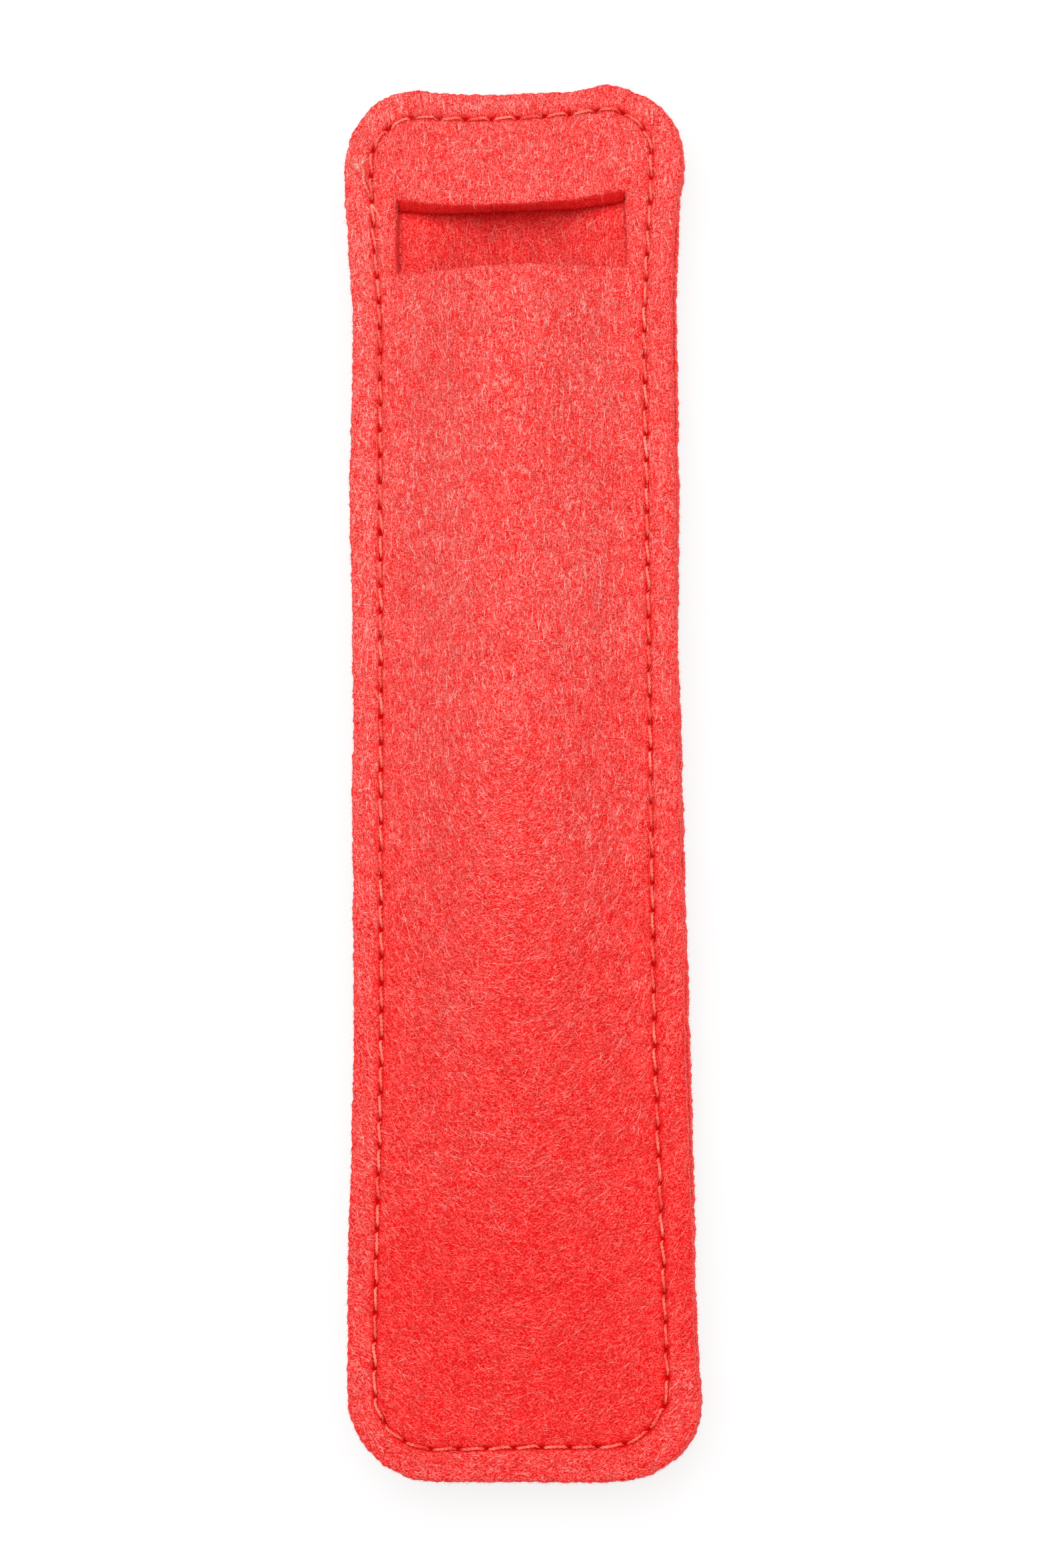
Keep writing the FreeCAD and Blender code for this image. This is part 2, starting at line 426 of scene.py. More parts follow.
def nap_and_light_at(points):
    """How raised the nap is, 0 to 1, which also holds painted light: most at the top, where it paints the
    felt paler, and outside the seam. Least low down, and lower on the right flange.
    """
    inset = seam_line.nearest(points)[1]
    along = smooth((points[:, 1] - top_light_low_y) / top_light_span)
    patches = sum(strength * noise_at(with_z(points), size, seed) for strength, size, seed in nap_patches)
    to_right = smooth((points[:, 0] - right_from_x) / right_span)
    to_right = to_right * smooth((points[:, 1] - right_from_y) / right_rise)
    outside_seam = (nap_past_seam - less_on_right_flange * to_right) * smooth(-inset / nap_past_seam_reach)
    return np.clip(nap_and_light_least + top_light_gain * along + patches + outside_seam, 0, 1)


def relief(points, lay, seed):
    """Height of the outer face above the rule, and how hard the seam presses the felt there, with painted
    shade in its groove and needle holes.
    """
    _, inset, arc = seam_line.nearest(points)
    phase = arc / stitch_step
    from_hole = (phase - np.round(phase)) * stitch_step
    near_hole = (1 + np.cos(2 * np.pi * phase)) / 2
    groove = np.exp(-(inset / groove_half) ** 2)
    groove = groove * (groove_between_holes + (1 - groove_between_holes) * near_hole)
    pit = np.exp(-(inset ** 2 + (from_hole / pit_stretch) ** 2) / pit_radius ** 2)
    pillow = np.exp(-((np.abs(inset) - pillow_inset) / pillow_half) ** 2)
    pillow = pillow * (1 - (1 - pillow_at_hole) * near_hole)
    height = pillow_height * pillow - groove_depth * groove - pit_depth * pit
    flat_points = with_z(points)
    for number, (depth, size) in enumerate(lumps):
        height = height + depth * noise_at(flat_points, size, seed + 7 * number)
    stretched = lay * (1 / ridge_size) / MM
    height = height + ridge_height * noise_at(stretched, 1.0, seed)
    return height, np.clip(groove_darkness * groove + pit, 0, 1)


print("groove", in_mm(groove_depth), "mm deep, needle holes", in_mm(pit_depth), "mm")

# %% [markdown]
# ## Ragged edges
# The felt was cut through both layers by hand, so its edge wanders by a few tenths of a millimetre, and the
# cut itself is rough. The flat pattern stays clean, and every point near an edge is then moved by that
# edge's own offset, fading with distance, so the triangles near it keep their shape.

# %% Ragged edges
ragged_steps = MM * np.array([  # how far the cut wanders, over what length, and how far in that is felt
    (0.16, 8.0, 3.0),
    (0.11, 2.2, 1.2),
    (0.11, 0.8, 0.4),
    (0.12, 0.42, 0.25),
])
window_raggedness = 0.7
window_bow = 1.3 * MM
window_lift = 0.2 * MM
window_bow_fade = 2.5 * MM
mouth_bow = 1.2 * MM
mouth_bow_fade = 4.0 * MM
uneven_cut = MM * np.array([  # x, y, how far along the edge it reaches, how far outwards the knife strayed
    (-13.0, 82.0, 7.0, 0.85),
    (11.6, 82.0, 2.2, 0.55),
    (18.5, 77.0, 4.5, 0.60),
    (-1.0, 82.0, 7.0, 0.28),
    (19.5, 72.0, 2.4, 0.45),
    (-19.0, 34.0, 17.0, 0.50),
    (-19.0, -2.0, 13.0, 0.25),
    (19.0, 40.0, 20.0, 0.22),
    (19.0, -30.0, 34.0, 0.42),
    (17.0, -77.0, 6.0, 0.90),
    (-13.0, -81.0, 8.0, -0.30),
])
back_strays = MM * np.array([  # where the back's edge strays further than the front's
    (19.0, 45.0, 26.0, 0.42),
    (19.0, -35.0, 34.0, 0.42),
    (2.0, -82.0, 12.0, -0.10),
    (-19.0, 60.0, 12.0, 0.15),
])
stray_fade = 2.2 * MM
slanted_cut = 0.95 * MM
slanted_side = 0.05 * MM
lean_of_knife = 0.18 * MM
lean_at_bottom, lean_at_right = 0.9, 0.45


def ragged(points, line, raggedness, seed):
    """Moves points near a line by the line's own wander."""
    index, inset, _ = line.nearest(points)
    edge = with_z(line.points)
    moved = points.copy()
    for number, (depth, size, fade) in enumerate(ragged_steps):
        wander = raggedness * depth * noise_at(edge, size, seed + 5 * number)
        weight = np.exp(-(inset / fade) ** 2)
        moved -= (wander[index] * weight)[:, None] * line.inward[index]
    return moved


def leaning_cut(inward):
    """How far each panel's cut leans in from its upper to its lower face, which is most at the bottom."""
    return lean_of_knife * np.clip(lean_at_bottom * inward[:, 1] - lean_at_right * inward[:, 0], 0, 1)


def strayed(points, strays):
    """How far points near the edge move where the knife strayed from the drawn line."""
    index, inset, _ = edge_line.nearest(points)
    near_edge = np.exp(-(inset / stray_fade) ** 2)
    out = np.zeros(len(points))
    for x, y, reach, push in strays:
        away = np.hypot(points[:, 0] - x, points[:, 1] - y)
        out += push * np.exp(-(away / reach) ** 2)
    return -edge_line.inward[index] * (out * near_edge)[:, None]


def bow_of_window(points):
    """The window's two long edges both hang a little at mid width."""
    y = points[:, 1]
    across = bell(points[:, 0], y)
    hang = window_bow * (1 - (1 - across) ** 2) - window_lift
    upper = hang * np.exp(-((y - window_top_y) / window_bow_fade) ** 2)
    lower = mouth_bow * across * np.exp(-((y - mouth_y) / mouth_bow_fade) ** 2)
    return np.where(y > (mouth_y + window_top_y) / 2, upper, lower)


def cut_shape(points, windowed, seed):
    """Where the points of the flat pattern really lie, with the cut's wander."""
    strays = uneven_cut if windowed else np.vstack([uneven_cut, back_strays])
    moved = ragged(points, edge_line, 1.0, seed) + strayed(points, strays)
    if windowed:
        moved = moved + ragged(points, window_line, window_raggedness, seed + 50) - points
        moved[:, 1] -= bow_of_window(points)
    else:
        index, inset, _ = edge_line.nearest(points)
        inward = edge_line.inward[index]
        moved += inward * (2 * leaning_cut(inward) * np.exp(-(inset / stray_fade) ** 2))[:, None]
    return moved


print("the cut strays at", len(uneven_cut), "places, and the back at", len(back_strays), "more")

# %% [markdown]
# ## From pattern to felt
# A felt panel is a closed solid: a fine outer face, a plainer inner face, and a rough wall between them along
# every cut. The two faces share their boundary points, so the wall is rows of quads from one to the other.
# Attributes go on the points here: the lay, how hard the seam presses together with painted shade in its
# groove and holes, painted light and shade on the cuts, and what is cut face.

# %% Points of the cut
wall_rows = [  # share of the way through the felt, and how far the cut swells out there, in millimetres
    (0.0, -0.10), (0.14, 0.02), (0.32, 0.07), (0.5, 0.05), (0.68, 0.07), (0.86, 0.0), (1.0, -0.13),
]
middle_rows = len(wall_rows) - 2
wall_roughness = 0.10 * MM
wall_grain = 0.4 * MM
steep_at_middle = 0.6
edge_count = len(edge_line.points)


def from_cut(points, lines):
    """How far each point is from the nearest cut."""
    return np.min([np.abs(line.nearest(points)[1]) for line in lines], axis=0)


def slant_of_cut(inward, side, windowed):
    """How far the cut slants outwards on its way through the felt, at each point of the rim."""
    slant = np.zeros(len(inward))
    slant[:edge_count] = -side * leaning_cut(edge_line.inward)
    if windowed:
        way_x, way_y = inward[edge_count:].T
        steeper = 1 - steep_at_middle * bell(window_line.points[:, 0], window_line.points[:, 1])
        slant[edge_count:] = slanted_cut * np.clip(way_y, 0, 1) * steeper + slanted_side * np.abs(way_x)
    return slant


def wall_points(outer, inner, inward, slant, seed):
    """The cut's points between the two faces, row by row. Both faces' rims are moved to meet it."""
    rim_count = len(inward)
    rows = []
    for share, swell in wall_rows:
        xy = outer[:rim_count, :2] - inward * (swell * MM + slant * share)[:, None]
        z = outer[:rim_count, 2] * (1 - share) + inner[:rim_count, 2] * share
        rows.append(np.column_stack([xy, z]))
    outer[:rim_count] = rows[0]
    inner[:rim_count] = rows[-1]
    middle = np.vstack(rows[1:-1])
    rough = wall_roughness * noise_at(middle, wall_grain, seed)
    middle[:, :2] -= np.tile(inward, (middle_rows, 1)) * rough[:, None]
    return middle


def wall_faces(lines, row_starts, side):
    """Quads from each row of the cut to the next, looking away from the felt."""
    faces = []
    first = 0
    for line in lines:
        count = len(line.points)
        outwards = side if line is edge_line else -side
        for upper, lower in zip(row_starts, row_starts[1:]):
            for i in range(count):
                here, ahead = first + i, first + (i + 1) % count
                quad = [upper + here, lower + here, lower + ahead, upper + ahead]
                faces.append(quad if outwards > 0 else quad[::-1])
        first += count
    return faces


print(middle_rows, "rows of points down each cut,", edge_count, "points round the edge")

# %% Marks for the finish
rim_cut = 0.6
# Little fuzz on the window's upper cut, which is then painted as shaded instead of lit.
fuzz_and_light_under_strip = 0.06
fuzz_turn = 0.35
fibre_margin = 1.3 * MM
bare_in_pressed_and_shade = 0.9
inner_nap = 0.5
shade_under_strip = 0.5
shade_reach, shade_fade = 2.4 * MM, 1.8 * MM
view_past_side, view_below_mouth = 1.5 * MM, 5 * MM
view_below_strip, view_fade = 0.6 * MM, 1.8 * MM


def on_rim(points, rim_count, values):
    """A number for each point of a face: values on its rim and 0 elsewhere."""
    marks = np.zeros(len(points))
    marks[:rim_count] = values
    return marks


def seen_through_window(inner):
    """On the back's inner face, where it shows through the window, and where the strip above shades it."""
    x, y = inner.T
    near_x = smooth((window_reach + view_past_side - np.abs(x)) / MM)
    near_y = smooth((window_top_y - view_below_strip - y) / view_fade)
    near_y = near_y * smooth((y - mouth_y + view_below_mouth) / MM)
    shaded = shade_under_strip * smooth((y - window_top_y + shade_reach) / shade_fade) * near_x
    return near_x * near_y, shaded


def felt_marks(outer, inner, inward, pressed_and_shade, from_edge, windowed):
    """What each point is, for the material and the fibres: the outer face, the inner face, then the cut. Some
    marks hold painted shade and painted light.
    """
    rim_count = len(inward)
    window_way_y = inward[edge_count:, 1]
    # The cut's fuzz also sets its painted light: full on the outer cut, which is painted lighter, and least
    # on the window's upper cut.
    rim_fuzz_and_light = np.ones(rim_count)
    rim_fuzz_and_light[edge_count:] = fuzz_and_light_under_strip + (1 - fuzz_and_light_under_strip) * smooth(fuzz_turn - window_way_y)
    # Painted shade: the window's upper cut face, which faces down under the strip.
    shaded_cut = np.zeros(rim_count)
    shaded_cut[edge_count:] = np.clip(window_way_y, 0, 1)
    in_view, shaded = np.zeros(len(inner)), on_rim(inner, rim_count, shaded_cut)
    if not windowed:
        in_view, shaded = seen_through_window(inner)
    none_on_cut = np.zeros(rim_count * middle_rows)
    # Painted shade: a deep line along the foot of that cut, where the two felts meet.
    on_last_row = np.concatenate([np.zeros(rim_count * (middle_rows - 1)), shaded_cut])
    open_face = smooth(from_edge / fibre_margin) * (1 - bare_in_pressed_and_shade * pressed_and_shade)
    parts = {
        "pressed_and_shade": (pressed_and_shade, shaded, on_last_row),
        "cut": (on_rim(outer, rim_count, rim_cut), on_rim(inner, rim_count, 1.0), none_on_cut + 1),
        "fuzz_and_light": (on_rim(outer, rim_count, rim_fuzz_and_light), on_rim(inner, rim_count, rim_fuzz_and_light),
                 np.tile(rim_fuzz_and_light, middle_rows)),
        "face_side": (open_face, np.zeros(len(inner)), none_on_cut),
        "nap_and_light": (nap_and_light_at(outer), np.full(len(inner), inner_nap), none_on_cut + inner_nap),
        "in_window": (np.zeros(len(outer)), in_view, none_on_cut),
    }
    return {label: np.concatenate(values) for label, values in parts.items()}


print("loose fibres thin out within", in_mm(fibre_margin), "mm of a cut")

# %% Felt panels
meeting_gap = 0.02 * MM
floor_clearance = 0.07 * MM
sharp_angle = math.radians(52)


def new_piece(name, data):
    piece = bpy.data.objects.new(name, data)
    bpy.context.scene.collection.objects.link(piece)
    return piece


def new_mesh(name, points, edges, faces, attributes):
    """A mesh object that keeps attributes, numbers or vectors, for each of its points."""
    mesh = bpy.data.meshes.new(name)
    mesh.from_pydata(points.tolist(), edges, faces)
    for label, values in attributes.items():
        kind, field = ("FLOAT", "value") if values.ndim == 1 else ("FLOAT_VECTOR", "vector")
        mesh.attributes.new(label, kind, "POINT").data.foreach_set(field, values.astype(np.float32).ravel())
    return new_piece(name, mesh)


def felt_panel(name, windowed, inside, side, seed):
    """One felt panel as a closed mesh. side is 1 for the front, which faces up, and -1 for the back."""
    outer, outer_faces, lines = flat_pattern(fine_step, edge_insets, seam_insets, windowed, seed)
    inner, inner_faces, _ = flat_pattern(coarse_step, edge_insets[:1], [], windowed, seed + 1)
    outer_lay, outer_way = lay_of(outer[:, 0], outer[:, 1])
    inner_lay, inner_way = lay_of(inner[:, 0], inner[:, 1])
    from_edge = from_cut(outer, lines)
    height, pressed_and_shade = relief(outer, outer_lay, seed)
    height = height - edge_round * np.clip(1 - from_edge / edge_reach, 0, 1) ** 2
    outer_z = np.maximum(outside(inside, side, outer[:, 0], outer[:, 1]) + side * height, floor_clearance)
    inner_z = inside(inner[:, 0], inner[:, 1]) + side * meeting_gap
    outer_points = np.column_stack([cut_shape(outer, windowed, seed), outer_z])
    inner_points = np.column_stack([cut_shape(inner, windowed, seed), inner_z])
    inward = np.vstack([line.inward for line in lines])
    wall = wall_points(outer_points, inner_points, inward, slant_of_cut(inward, side, windowed), seed)

    rim_count = len(inward)
    first_inner, first_wall = len(outer), len(outer) + len(inner)
    row_starts = [0] + [first_wall + rim_count * row for row in range(middle_rows)] + [first_inner]
    up, down = outer_faces, inner_faces + first_inner
    if side < 0:
        up, down = down, up
    faces = up.tolist() + down[:, ::-1].tolist() + wall_faces(lines, row_starts, side)

    attributes = {
        "lay": np.vstack([outer_lay, inner_lay, np.tile(outer_lay[:rim_count], (middle_rows, 1))]),
        "lay_way": np.vstack([outer_way, inner_way, np.tile(outer_way[:rim_count], (middle_rows, 1))]),
        **felt_marks(outer, inner, inward, pressed_and_shade, from_edge, windowed),
    }
    points = np.vstack([outer_points, inner_points, wall])
    piece = new_mesh(name, points, [], faces, attributes)
    piece.data.shade_smooth()
    piece.data.set_sharp_from_angle(angle=sharp_angle)
    triangles = sum(len(face) - 2 for face in faces)
    print(name, len(points), "points,", triangles, "triangles")
    return piece


front_felt = felt_panel("front_felt", True, front_inside, 1, 3)
back_felt = felt_panel("back_felt", False, back_inside, -1, 11)


def check_closed(piece):
    made = bmesh.new()
    made.from_mesh(piece.data)
    open_edges = sum(1 for edge in made.edges if not (edge.is_manifold and edge.is_contiguous))
    volume = made.calc_volume(signed=True)
    made.free()
    print(piece.name, "open or flipped edges", open_edges, "volume cm3", round(volume * 1e6, 2))


for piece in (front_felt, back_felt):
    check_closed(piece)

# %% [markdown]
# ## Helpers for node trees
# Geometry trees and shader trees are both wired the same way: add a node, set or link its inputs. A few small
# helpers keep each tree readable as a list of steps, and let a sum in a tree read like a sum.


# %% Node helpers
def set_inputs(tree, node, inputs):
    """Fills inputs, each given by name or number, with a value or with another node's output."""
    for label, value in inputs.items():
        socket = node.inputs[label]
        if isinstance(value, bpy.types.NodeSocket):
            tree.links.new(value, socket)
        else:
            socket.default_value = value


def add_node(tree, kind, inputs=None, **settings):
    made = tree.nodes.new(kind)
    for label, value in settings.items():
        setattr(made, label, value)
    set_inputs(tree, made, inputs or {})
    return made


def first_output(tree, kind, inputs=None, **settings):
    return add_node(tree, kind, inputs, **settings).outputs[0]


def calc(tree, operation, *values):
    return first_output(tree, "ShaderNodeMath", dict(enumerate(values)), operation=operation)


def chain(tree, operation, values):
    """One number from many, taken two at a time from the left."""
    total = values[0]
    for value in values[1:]:
        total = calc(tree, operation, total, value)
    return total


def times(tree, *values):
    return chain(tree, "MULTIPLY", values)


def plus(tree, *values):
    return chain(tree, "ADD", values)


def minus(tree, first, second):
    return calc(tree, "SUBTRACT", first, second)


def largest(tree, *values):
    return chain(tree, "MAXIMUM", values)


def vector_calc(tree, operation, *values):
    made = add_node(tree, "ShaderNodeVectorMath", operation=operation)
    enabled = [index for index, socket in enumerate(made.inputs) if socket.enabled]
    set_inputs(tree, made, dict(zip(enabled, values)))
    return next(socket for socket in made.outputs if socket.enabled)


def along_z(tree, value):
    return first_output(tree, "ShaderNodeCombineXYZ", {2: value})


def noise_pattern(tree, place, scale, detail, **more):
    inputs = {"Vector": place, "Scale": scale, "Detail": detail, **more}
    return first_output(tree, "ShaderNodeTexNoise", inputs)


def ramp(tree, value, low, high, to_low=0.0, to_high=1.0, smoothly=True):
    """Carries value from the span low..high to the span to_low..to_high, and stops at its ends."""
    kind = "SMOOTHSTEP" if smoothly else "LINEAR"
    inputs = {"Value": value, "From Min": low, "From Max": high, "To Min": to_low, "To Max": to_high}
    return first_output(tree, "ShaderNodeMapRange", inputs, interpolation_type=kind)


def attribute(tree, label, kind="FLOAT"):
    return first_output(tree, "GeometryNodeInputNamedAttribute", {"Name": label}, data_type=kind)


def geometry_tree(label, values, with_material=True):
    """A Geometry Nodes tree with named number inputs. values is {name: default}."""
    tree = bpy.data.node_groups.new(label, "GeometryNodeTree")
    tree.interface.new_socket("Geometry", in_out="INPUT", socket_type="NodeSocketGeometry")
    tree.interface.new_socket("Geometry", in_out="OUTPUT", socket_type="NodeSocketGeometry")
    for name, value in values.items():
        kind = "NodeSocketInt" if isinstance(value, int) else "NodeSocketFloat"
        tree.interface.new_socket(name, in_out="INPUT", socket_type=kind).default_value = value
    if with_material:
        tree.interface.new_socket("Material", in_out="INPUT", socket_type="NodeSocketMaterial")
    return tree, tree.nodes.new("NodeGroupInput").outputs, tree.nodes.new("NodeGroupOutput").inputs


def grown(name, source, tree, values, material):
    """Runs a Geometry Nodes tree on a source object and returns its result as a plain mesh object."""
    modifier = source.modifiers.new(tree.name, "NODES")
    modifier.node_group = tree
    for item in tree.interface.items_tree:
        if item.item_type == "SOCKET" and item.in_out == "INPUT":
            if item.name in values:
                modifier[item.identifier] = values[item.name]
            elif item.name == "Material":
                modifier[item.identifier] = material
    bpy.context.view_layer.update()
    seen = source.evaluated_get(bpy.context.evaluated_depsgraph_get())
    mesh = bpy.data.meshes.new_from_object(seen)
    mesh.name = name
    source.modifiers.remove(modifier)
    piece = new_piece(name, mesh)
    triangles = sum(len(polygon.vertices) - 2 for polygon in mesh.polygons)
    print(name, len(mesh.vertices), "points,", triangles, "triangles")
    return piece


# %% [markdown]
# ## Colours
# The felt's dye is one red, but the eye meets three: a deep red between fibres, the red of the face, and pale
# pink where single fibres catch the light. The deep red is painted shade, both there and in the seam's groove
# and under the window's strip. The needle holes get a painted shadow, the cut walls get a lighter red that is
# painted light, and near-white is kept for painted glints. They are written as they look on a screen and
# turned into the linear numbers that a shader mixes.


# %% Colours
def screen_colour(red, green, blue):
    def linear(value):
        value = value / 255
        return value / 12.92 if value <= 0.04045 else ((value + 0.055) / 1.055) ** 2.4
    return (linear(red), linear(green), linear(blue), 1.0)


# Painted shade: the deep red between fibres, in the seam's groove and under the window's strip.
shade_red = screen_colour(220, 4, 8)
felt_red = screen_colour(238, 16, 19)
felt_face = screen_colour(250, 42, 41)
# Painted light: a lighter red that keeps the sideways cut walls as bright as the face.
cut_lit_red = screen_colour(255, 84, 80)
# Painted shadow in the needle holes.
hole_shadow_red = screen_colour(208, 0, 4)
fibre_pale = screen_colour(255, 160, 152)
fibre_warm = screen_colour(255, 112, 104)
# Painted glints: near-white where fibres and the cut's fibre ends catch the light.
glint_white = screen_colour(255, 232, 222)
thread_red = screen_colour(255, 122, 100)
thread_deep = screen_colour(226, 42, 38)
print("felt red, linear:", [round(v, 3) for v in felt_red[:3]])

# %% [markdown]
# ## Shader groups
# Two effects are shared by every felt surface, so each is a node group. "Felt fibres" draws thin lines that
# run along a direction: a noise is stretched along the fibres, and only the places where it crosses its
# middle value are kept, which are long thin curves. "Felt ground" is what shows between them, from deep pits
# to pale tips. Its colour follows the same grain as the bump's height, so the pits hold painted shade and the
# tips painted light, over a tone that varies at random. It gives the height for the bump as well.

# %% Shader groups
# The two spans are tones, from a noise that runs from 0 to 1 and is mostly near its middle.
fibre_core = 0.35
coarse_scale, coarse_share = 0.55, 0.34
grain_scale, grain_share, grain_roughness = 4.7, 0.66, 0.62
deep_to_red = (0.43, 0.51)
red_to_face = (0.52, 0.60)


def shader_group(label, inputs, outputs):
    tree = bpy.data.node_groups.new(label, "ShaderNodeTree")
    for name, kind, value in inputs:
        socket = tree.interface.new_socket(name, in_out="INPUT", socket_type=kind)
        if value is not None:
            socket.default_value = value
    for name, kind in outputs:
        tree.interface.new_socket(name, in_out="OUTPUT", socket_type=kind)
    return tree, tree.nodes.new("NodeGroupInput").outputs, tree.nodes.new("NodeGroupOutput").inputs


def mixed(tree, factor, first, second):
    mix = add_node(tree, "ShaderNodeMix", {"Factor": factor, 6: first, 7: second}, data_type="RGBA")
    return mix.outputs[2]


def felt_fibres_group():
    """Mask of fibres. Lay is in millimetres: x runs along the fibres and y across them."""
    tree, given, result = shader_group(
        "Felt fibres",
        [
            ("Lay", "NodeSocketVector", None),
            ("Turn", "NodeSocketFloat", 0.0),
            ("Length", "NodeSocketFloat", 3.0),
            ("Spacing", "NodeSocketFloat", 0.2),
            ("Thickness", "NodeSocketFloat", 0.08),
        ],
        [("Mask", "NodeSocketFloat")],
    )
    swing = {"Vector": given["Lay"], "Angle": given["Turn"]}
    swung = first_output(tree, "ShaderNodeVectorRotate", swing, rotation_type="Z_AXIS")
    parts = add_node(tree, "ShaderNodeSeparateXYZ", {0: swung}).outputs
    along = calc(tree, "DIVIDE", parts[0], given["Length"])
    across = calc(tree, "DIVIDE", parts[1], given["Spacing"])
    stretched = first_output(tree, "ShaderNodeCombineXYZ", {0: along, 1: across, 2: given["Turn"]})
    lines = noise_pattern(tree, stretched, 1.0, 0.6)
    from_middle = calc(tree, "ABSOLUTE", minus(tree, lines, 0.5))
    core = times(tree, given["Thickness"], fibre_core)
    tree.links.new(ramp(tree, from_middle, core, given["Thickness"], 1.0, 0.0), result["Mask"])
    return tree


def felt_ground_group():
    """The felt between its fibres: colour from painted shade in the deep pits to paler raised tips, over a
    random tone, and the height that goes with it.
    """
    tree, given, result = shader_group(
        "Felt ground",
        [
            ("Place", "NodeSocketVector", None),
            ("Grain", "NodeSocketFloat", grain_scale),
            ("Paler", "NodeSocketFloat", 0.0),
            ("Deep", "NodeSocketColor", shade_red),
            ("Red", "NodeSocketColor", felt_red),
            ("Face", "NodeSocketColor", felt_face),
        ],
        [("Colour", "NodeSocketColor"), ("Height", "NodeSocketFloat")],
    )
    coarse = noise_pattern(tree, given["Place"], coarse_scale, 2.0)
    grain = noise_pattern(tree, given["Place"], given["Grain"], 2.0, Roughness=grain_roughness)
    tone = plus(tree, times(tree, coarse, coarse_share), times(tree, grain, grain_share), given["Paler"])
    low = ramp(tree, tone, *deep_to_red)
    high = ramp(tree, tone, *red_to_face)
    shade = mixed(tree, low, given["Deep"], given["Red"])
    tree.links.new(mixed(tree, high, shade, given["Face"]), result["Colour"])
    tree.links.new(grain, result["Height"])
    return tree


felt_fibres = felt_fibres_group()
felt_ground = felt_ground_group()
print("shader groups:", felt_fibres.name, "and", felt_ground.name)

# %% [markdown]
# ## Felt material
# The ground carries fibres that run with the lay, and others at wide angles to it, because needling turns
# many fibres out of line. Where the nap is raised the felt is paler, and that number also holds painted
# light: the felt is painted paler towards the top, and the number is lower on the right flange. Where the
# seam presses it the felt is deeper, and that deep red is painted shade in its groove and needle holes, as it
# is under the window's strip. A cut face shows fibre ends as white speckles, which are painted glints. The
# outer cut walls are painted a lighter red, which is painted light, and the window's upper cut face a deep
# red, which is painted shade. Sheen stands for the finest hair, too fine to model, that brightens felt seen
# at a low angle. Light also soaks into dyed fibres and comes out red, so the felt's hollows stay red instead
# of going grey, and that is what subsurface scattering is for.

# %% Felt material
# Spans are where an effect starts and where it is full. Strengths are shares from 0 to 1.
# Each layer of fibres is its turn in degrees, then its fibres' length, spacing and thickness in millimetres.
fibres_with_lay = [(5, 2.6, 0.16, 0.036), (-16, 2.2, 0.18, 0.034)]
fibres_astray = [(52, 1.3, 0.18, 0.03), (-35, 1.3, 0.18, 0.03), (4, 1.1, 0.21, 0.026)]
astray_strength = 0.7
tips_above = (0.38, 0.54)
fibre_in_pits = 0.15
fibre_flat_nap, fibre_by_nap_and_light = 0.22, 0.85
lost_in_pressed_and_shade, lost_when_cut = 0.7, 0.7
nap_and_light_paler = 0.13
speckle_scale = 4.6
speckle_size = (0.10, 0.36)
cut_above = (0.5, 0.9)
# Shares on the cut of the painted lighter red and of painted glints.
cut_lit_share, glint_share_on_cut = 0.6, 0.75
pressed_and_shade_deep = 0.7
bump_distance = 0.13 * MM
light_depth = 0.9 * MM
light_by_colour = (1.0, 0.12, 0.1)


def new_material(label):
    """A material, its tree and shader, and the place on the piece in millimetres."""
    material = bpy.data.materials.new(label)
    material.use_nodes = True
    tree = material.node_tree
    place = add_node(tree, "ShaderNodeTexCoord").outputs["Object"]
    return material, tree, tree.nodes["Principled BSDF"], vector_calc(tree, "SCALE", place, 1 / MM)


def mark(tree, label, output="Fac"):
    return add_node(tree, "ShaderNodeAttribute", attribute_name=label).outputs[output]


def bumped(tree, strength, distance, height):
    inputs = {"Strength": strength, "Distance": distance, "Height": height}
    return first_output(tree, "ShaderNodeBump", inputs)


def fibres(tree, lay, turn, length, spacing, thickness):
    made = add_node(tree, "ShaderNodeGroup", node_tree=felt_fibres)
    set_inputs(tree, made, {
        "Lay": lay, "Turn": math.radians(turn), "Length": length, "Spacing": spacing, "Thickness": thickness,
    })
    return made.outputs["Mask"]


def shader_fibres(tree, place, ground, nap_and_light, pressed_and_shade, cut):
    """Where the painted fibres show: on the tips, where the nap-and-light number is high, and less on cuts
    and in the seam's groove, holes and painted shade.
    """
    lay = vector_calc(tree, "SCALE", mark(tree, "lay", "Vector"), 1 / MM)
    with_lay = largest(tree, *[fibres(tree, lay, *sizes) for sizes in fibres_with_lay])
    astray = largest(tree, *[fibres(tree, place, *sizes) for sizes in fibres_astray])
    every_way = largest(tree, with_lay, times(tree, astray, astray_strength))
    on_tips = ramp(tree, ground.outputs["Height"], *tips_above, fibre_in_pits, 1.0)
    raised = plus(tree, fibre_flat_nap, times(tree, nap_and_light, fibre_by_nap_and_light))
    unpressed = minus(tree, 1.0, times(tree, pressed_and_shade, lost_in_pressed_and_shade))
    uncut = minus(tree, 1.0, times(tree, cut, lost_when_cut))
    return times(tree, times(tree, every_way, on_tips, raised), times(tree, unpressed, uncut))


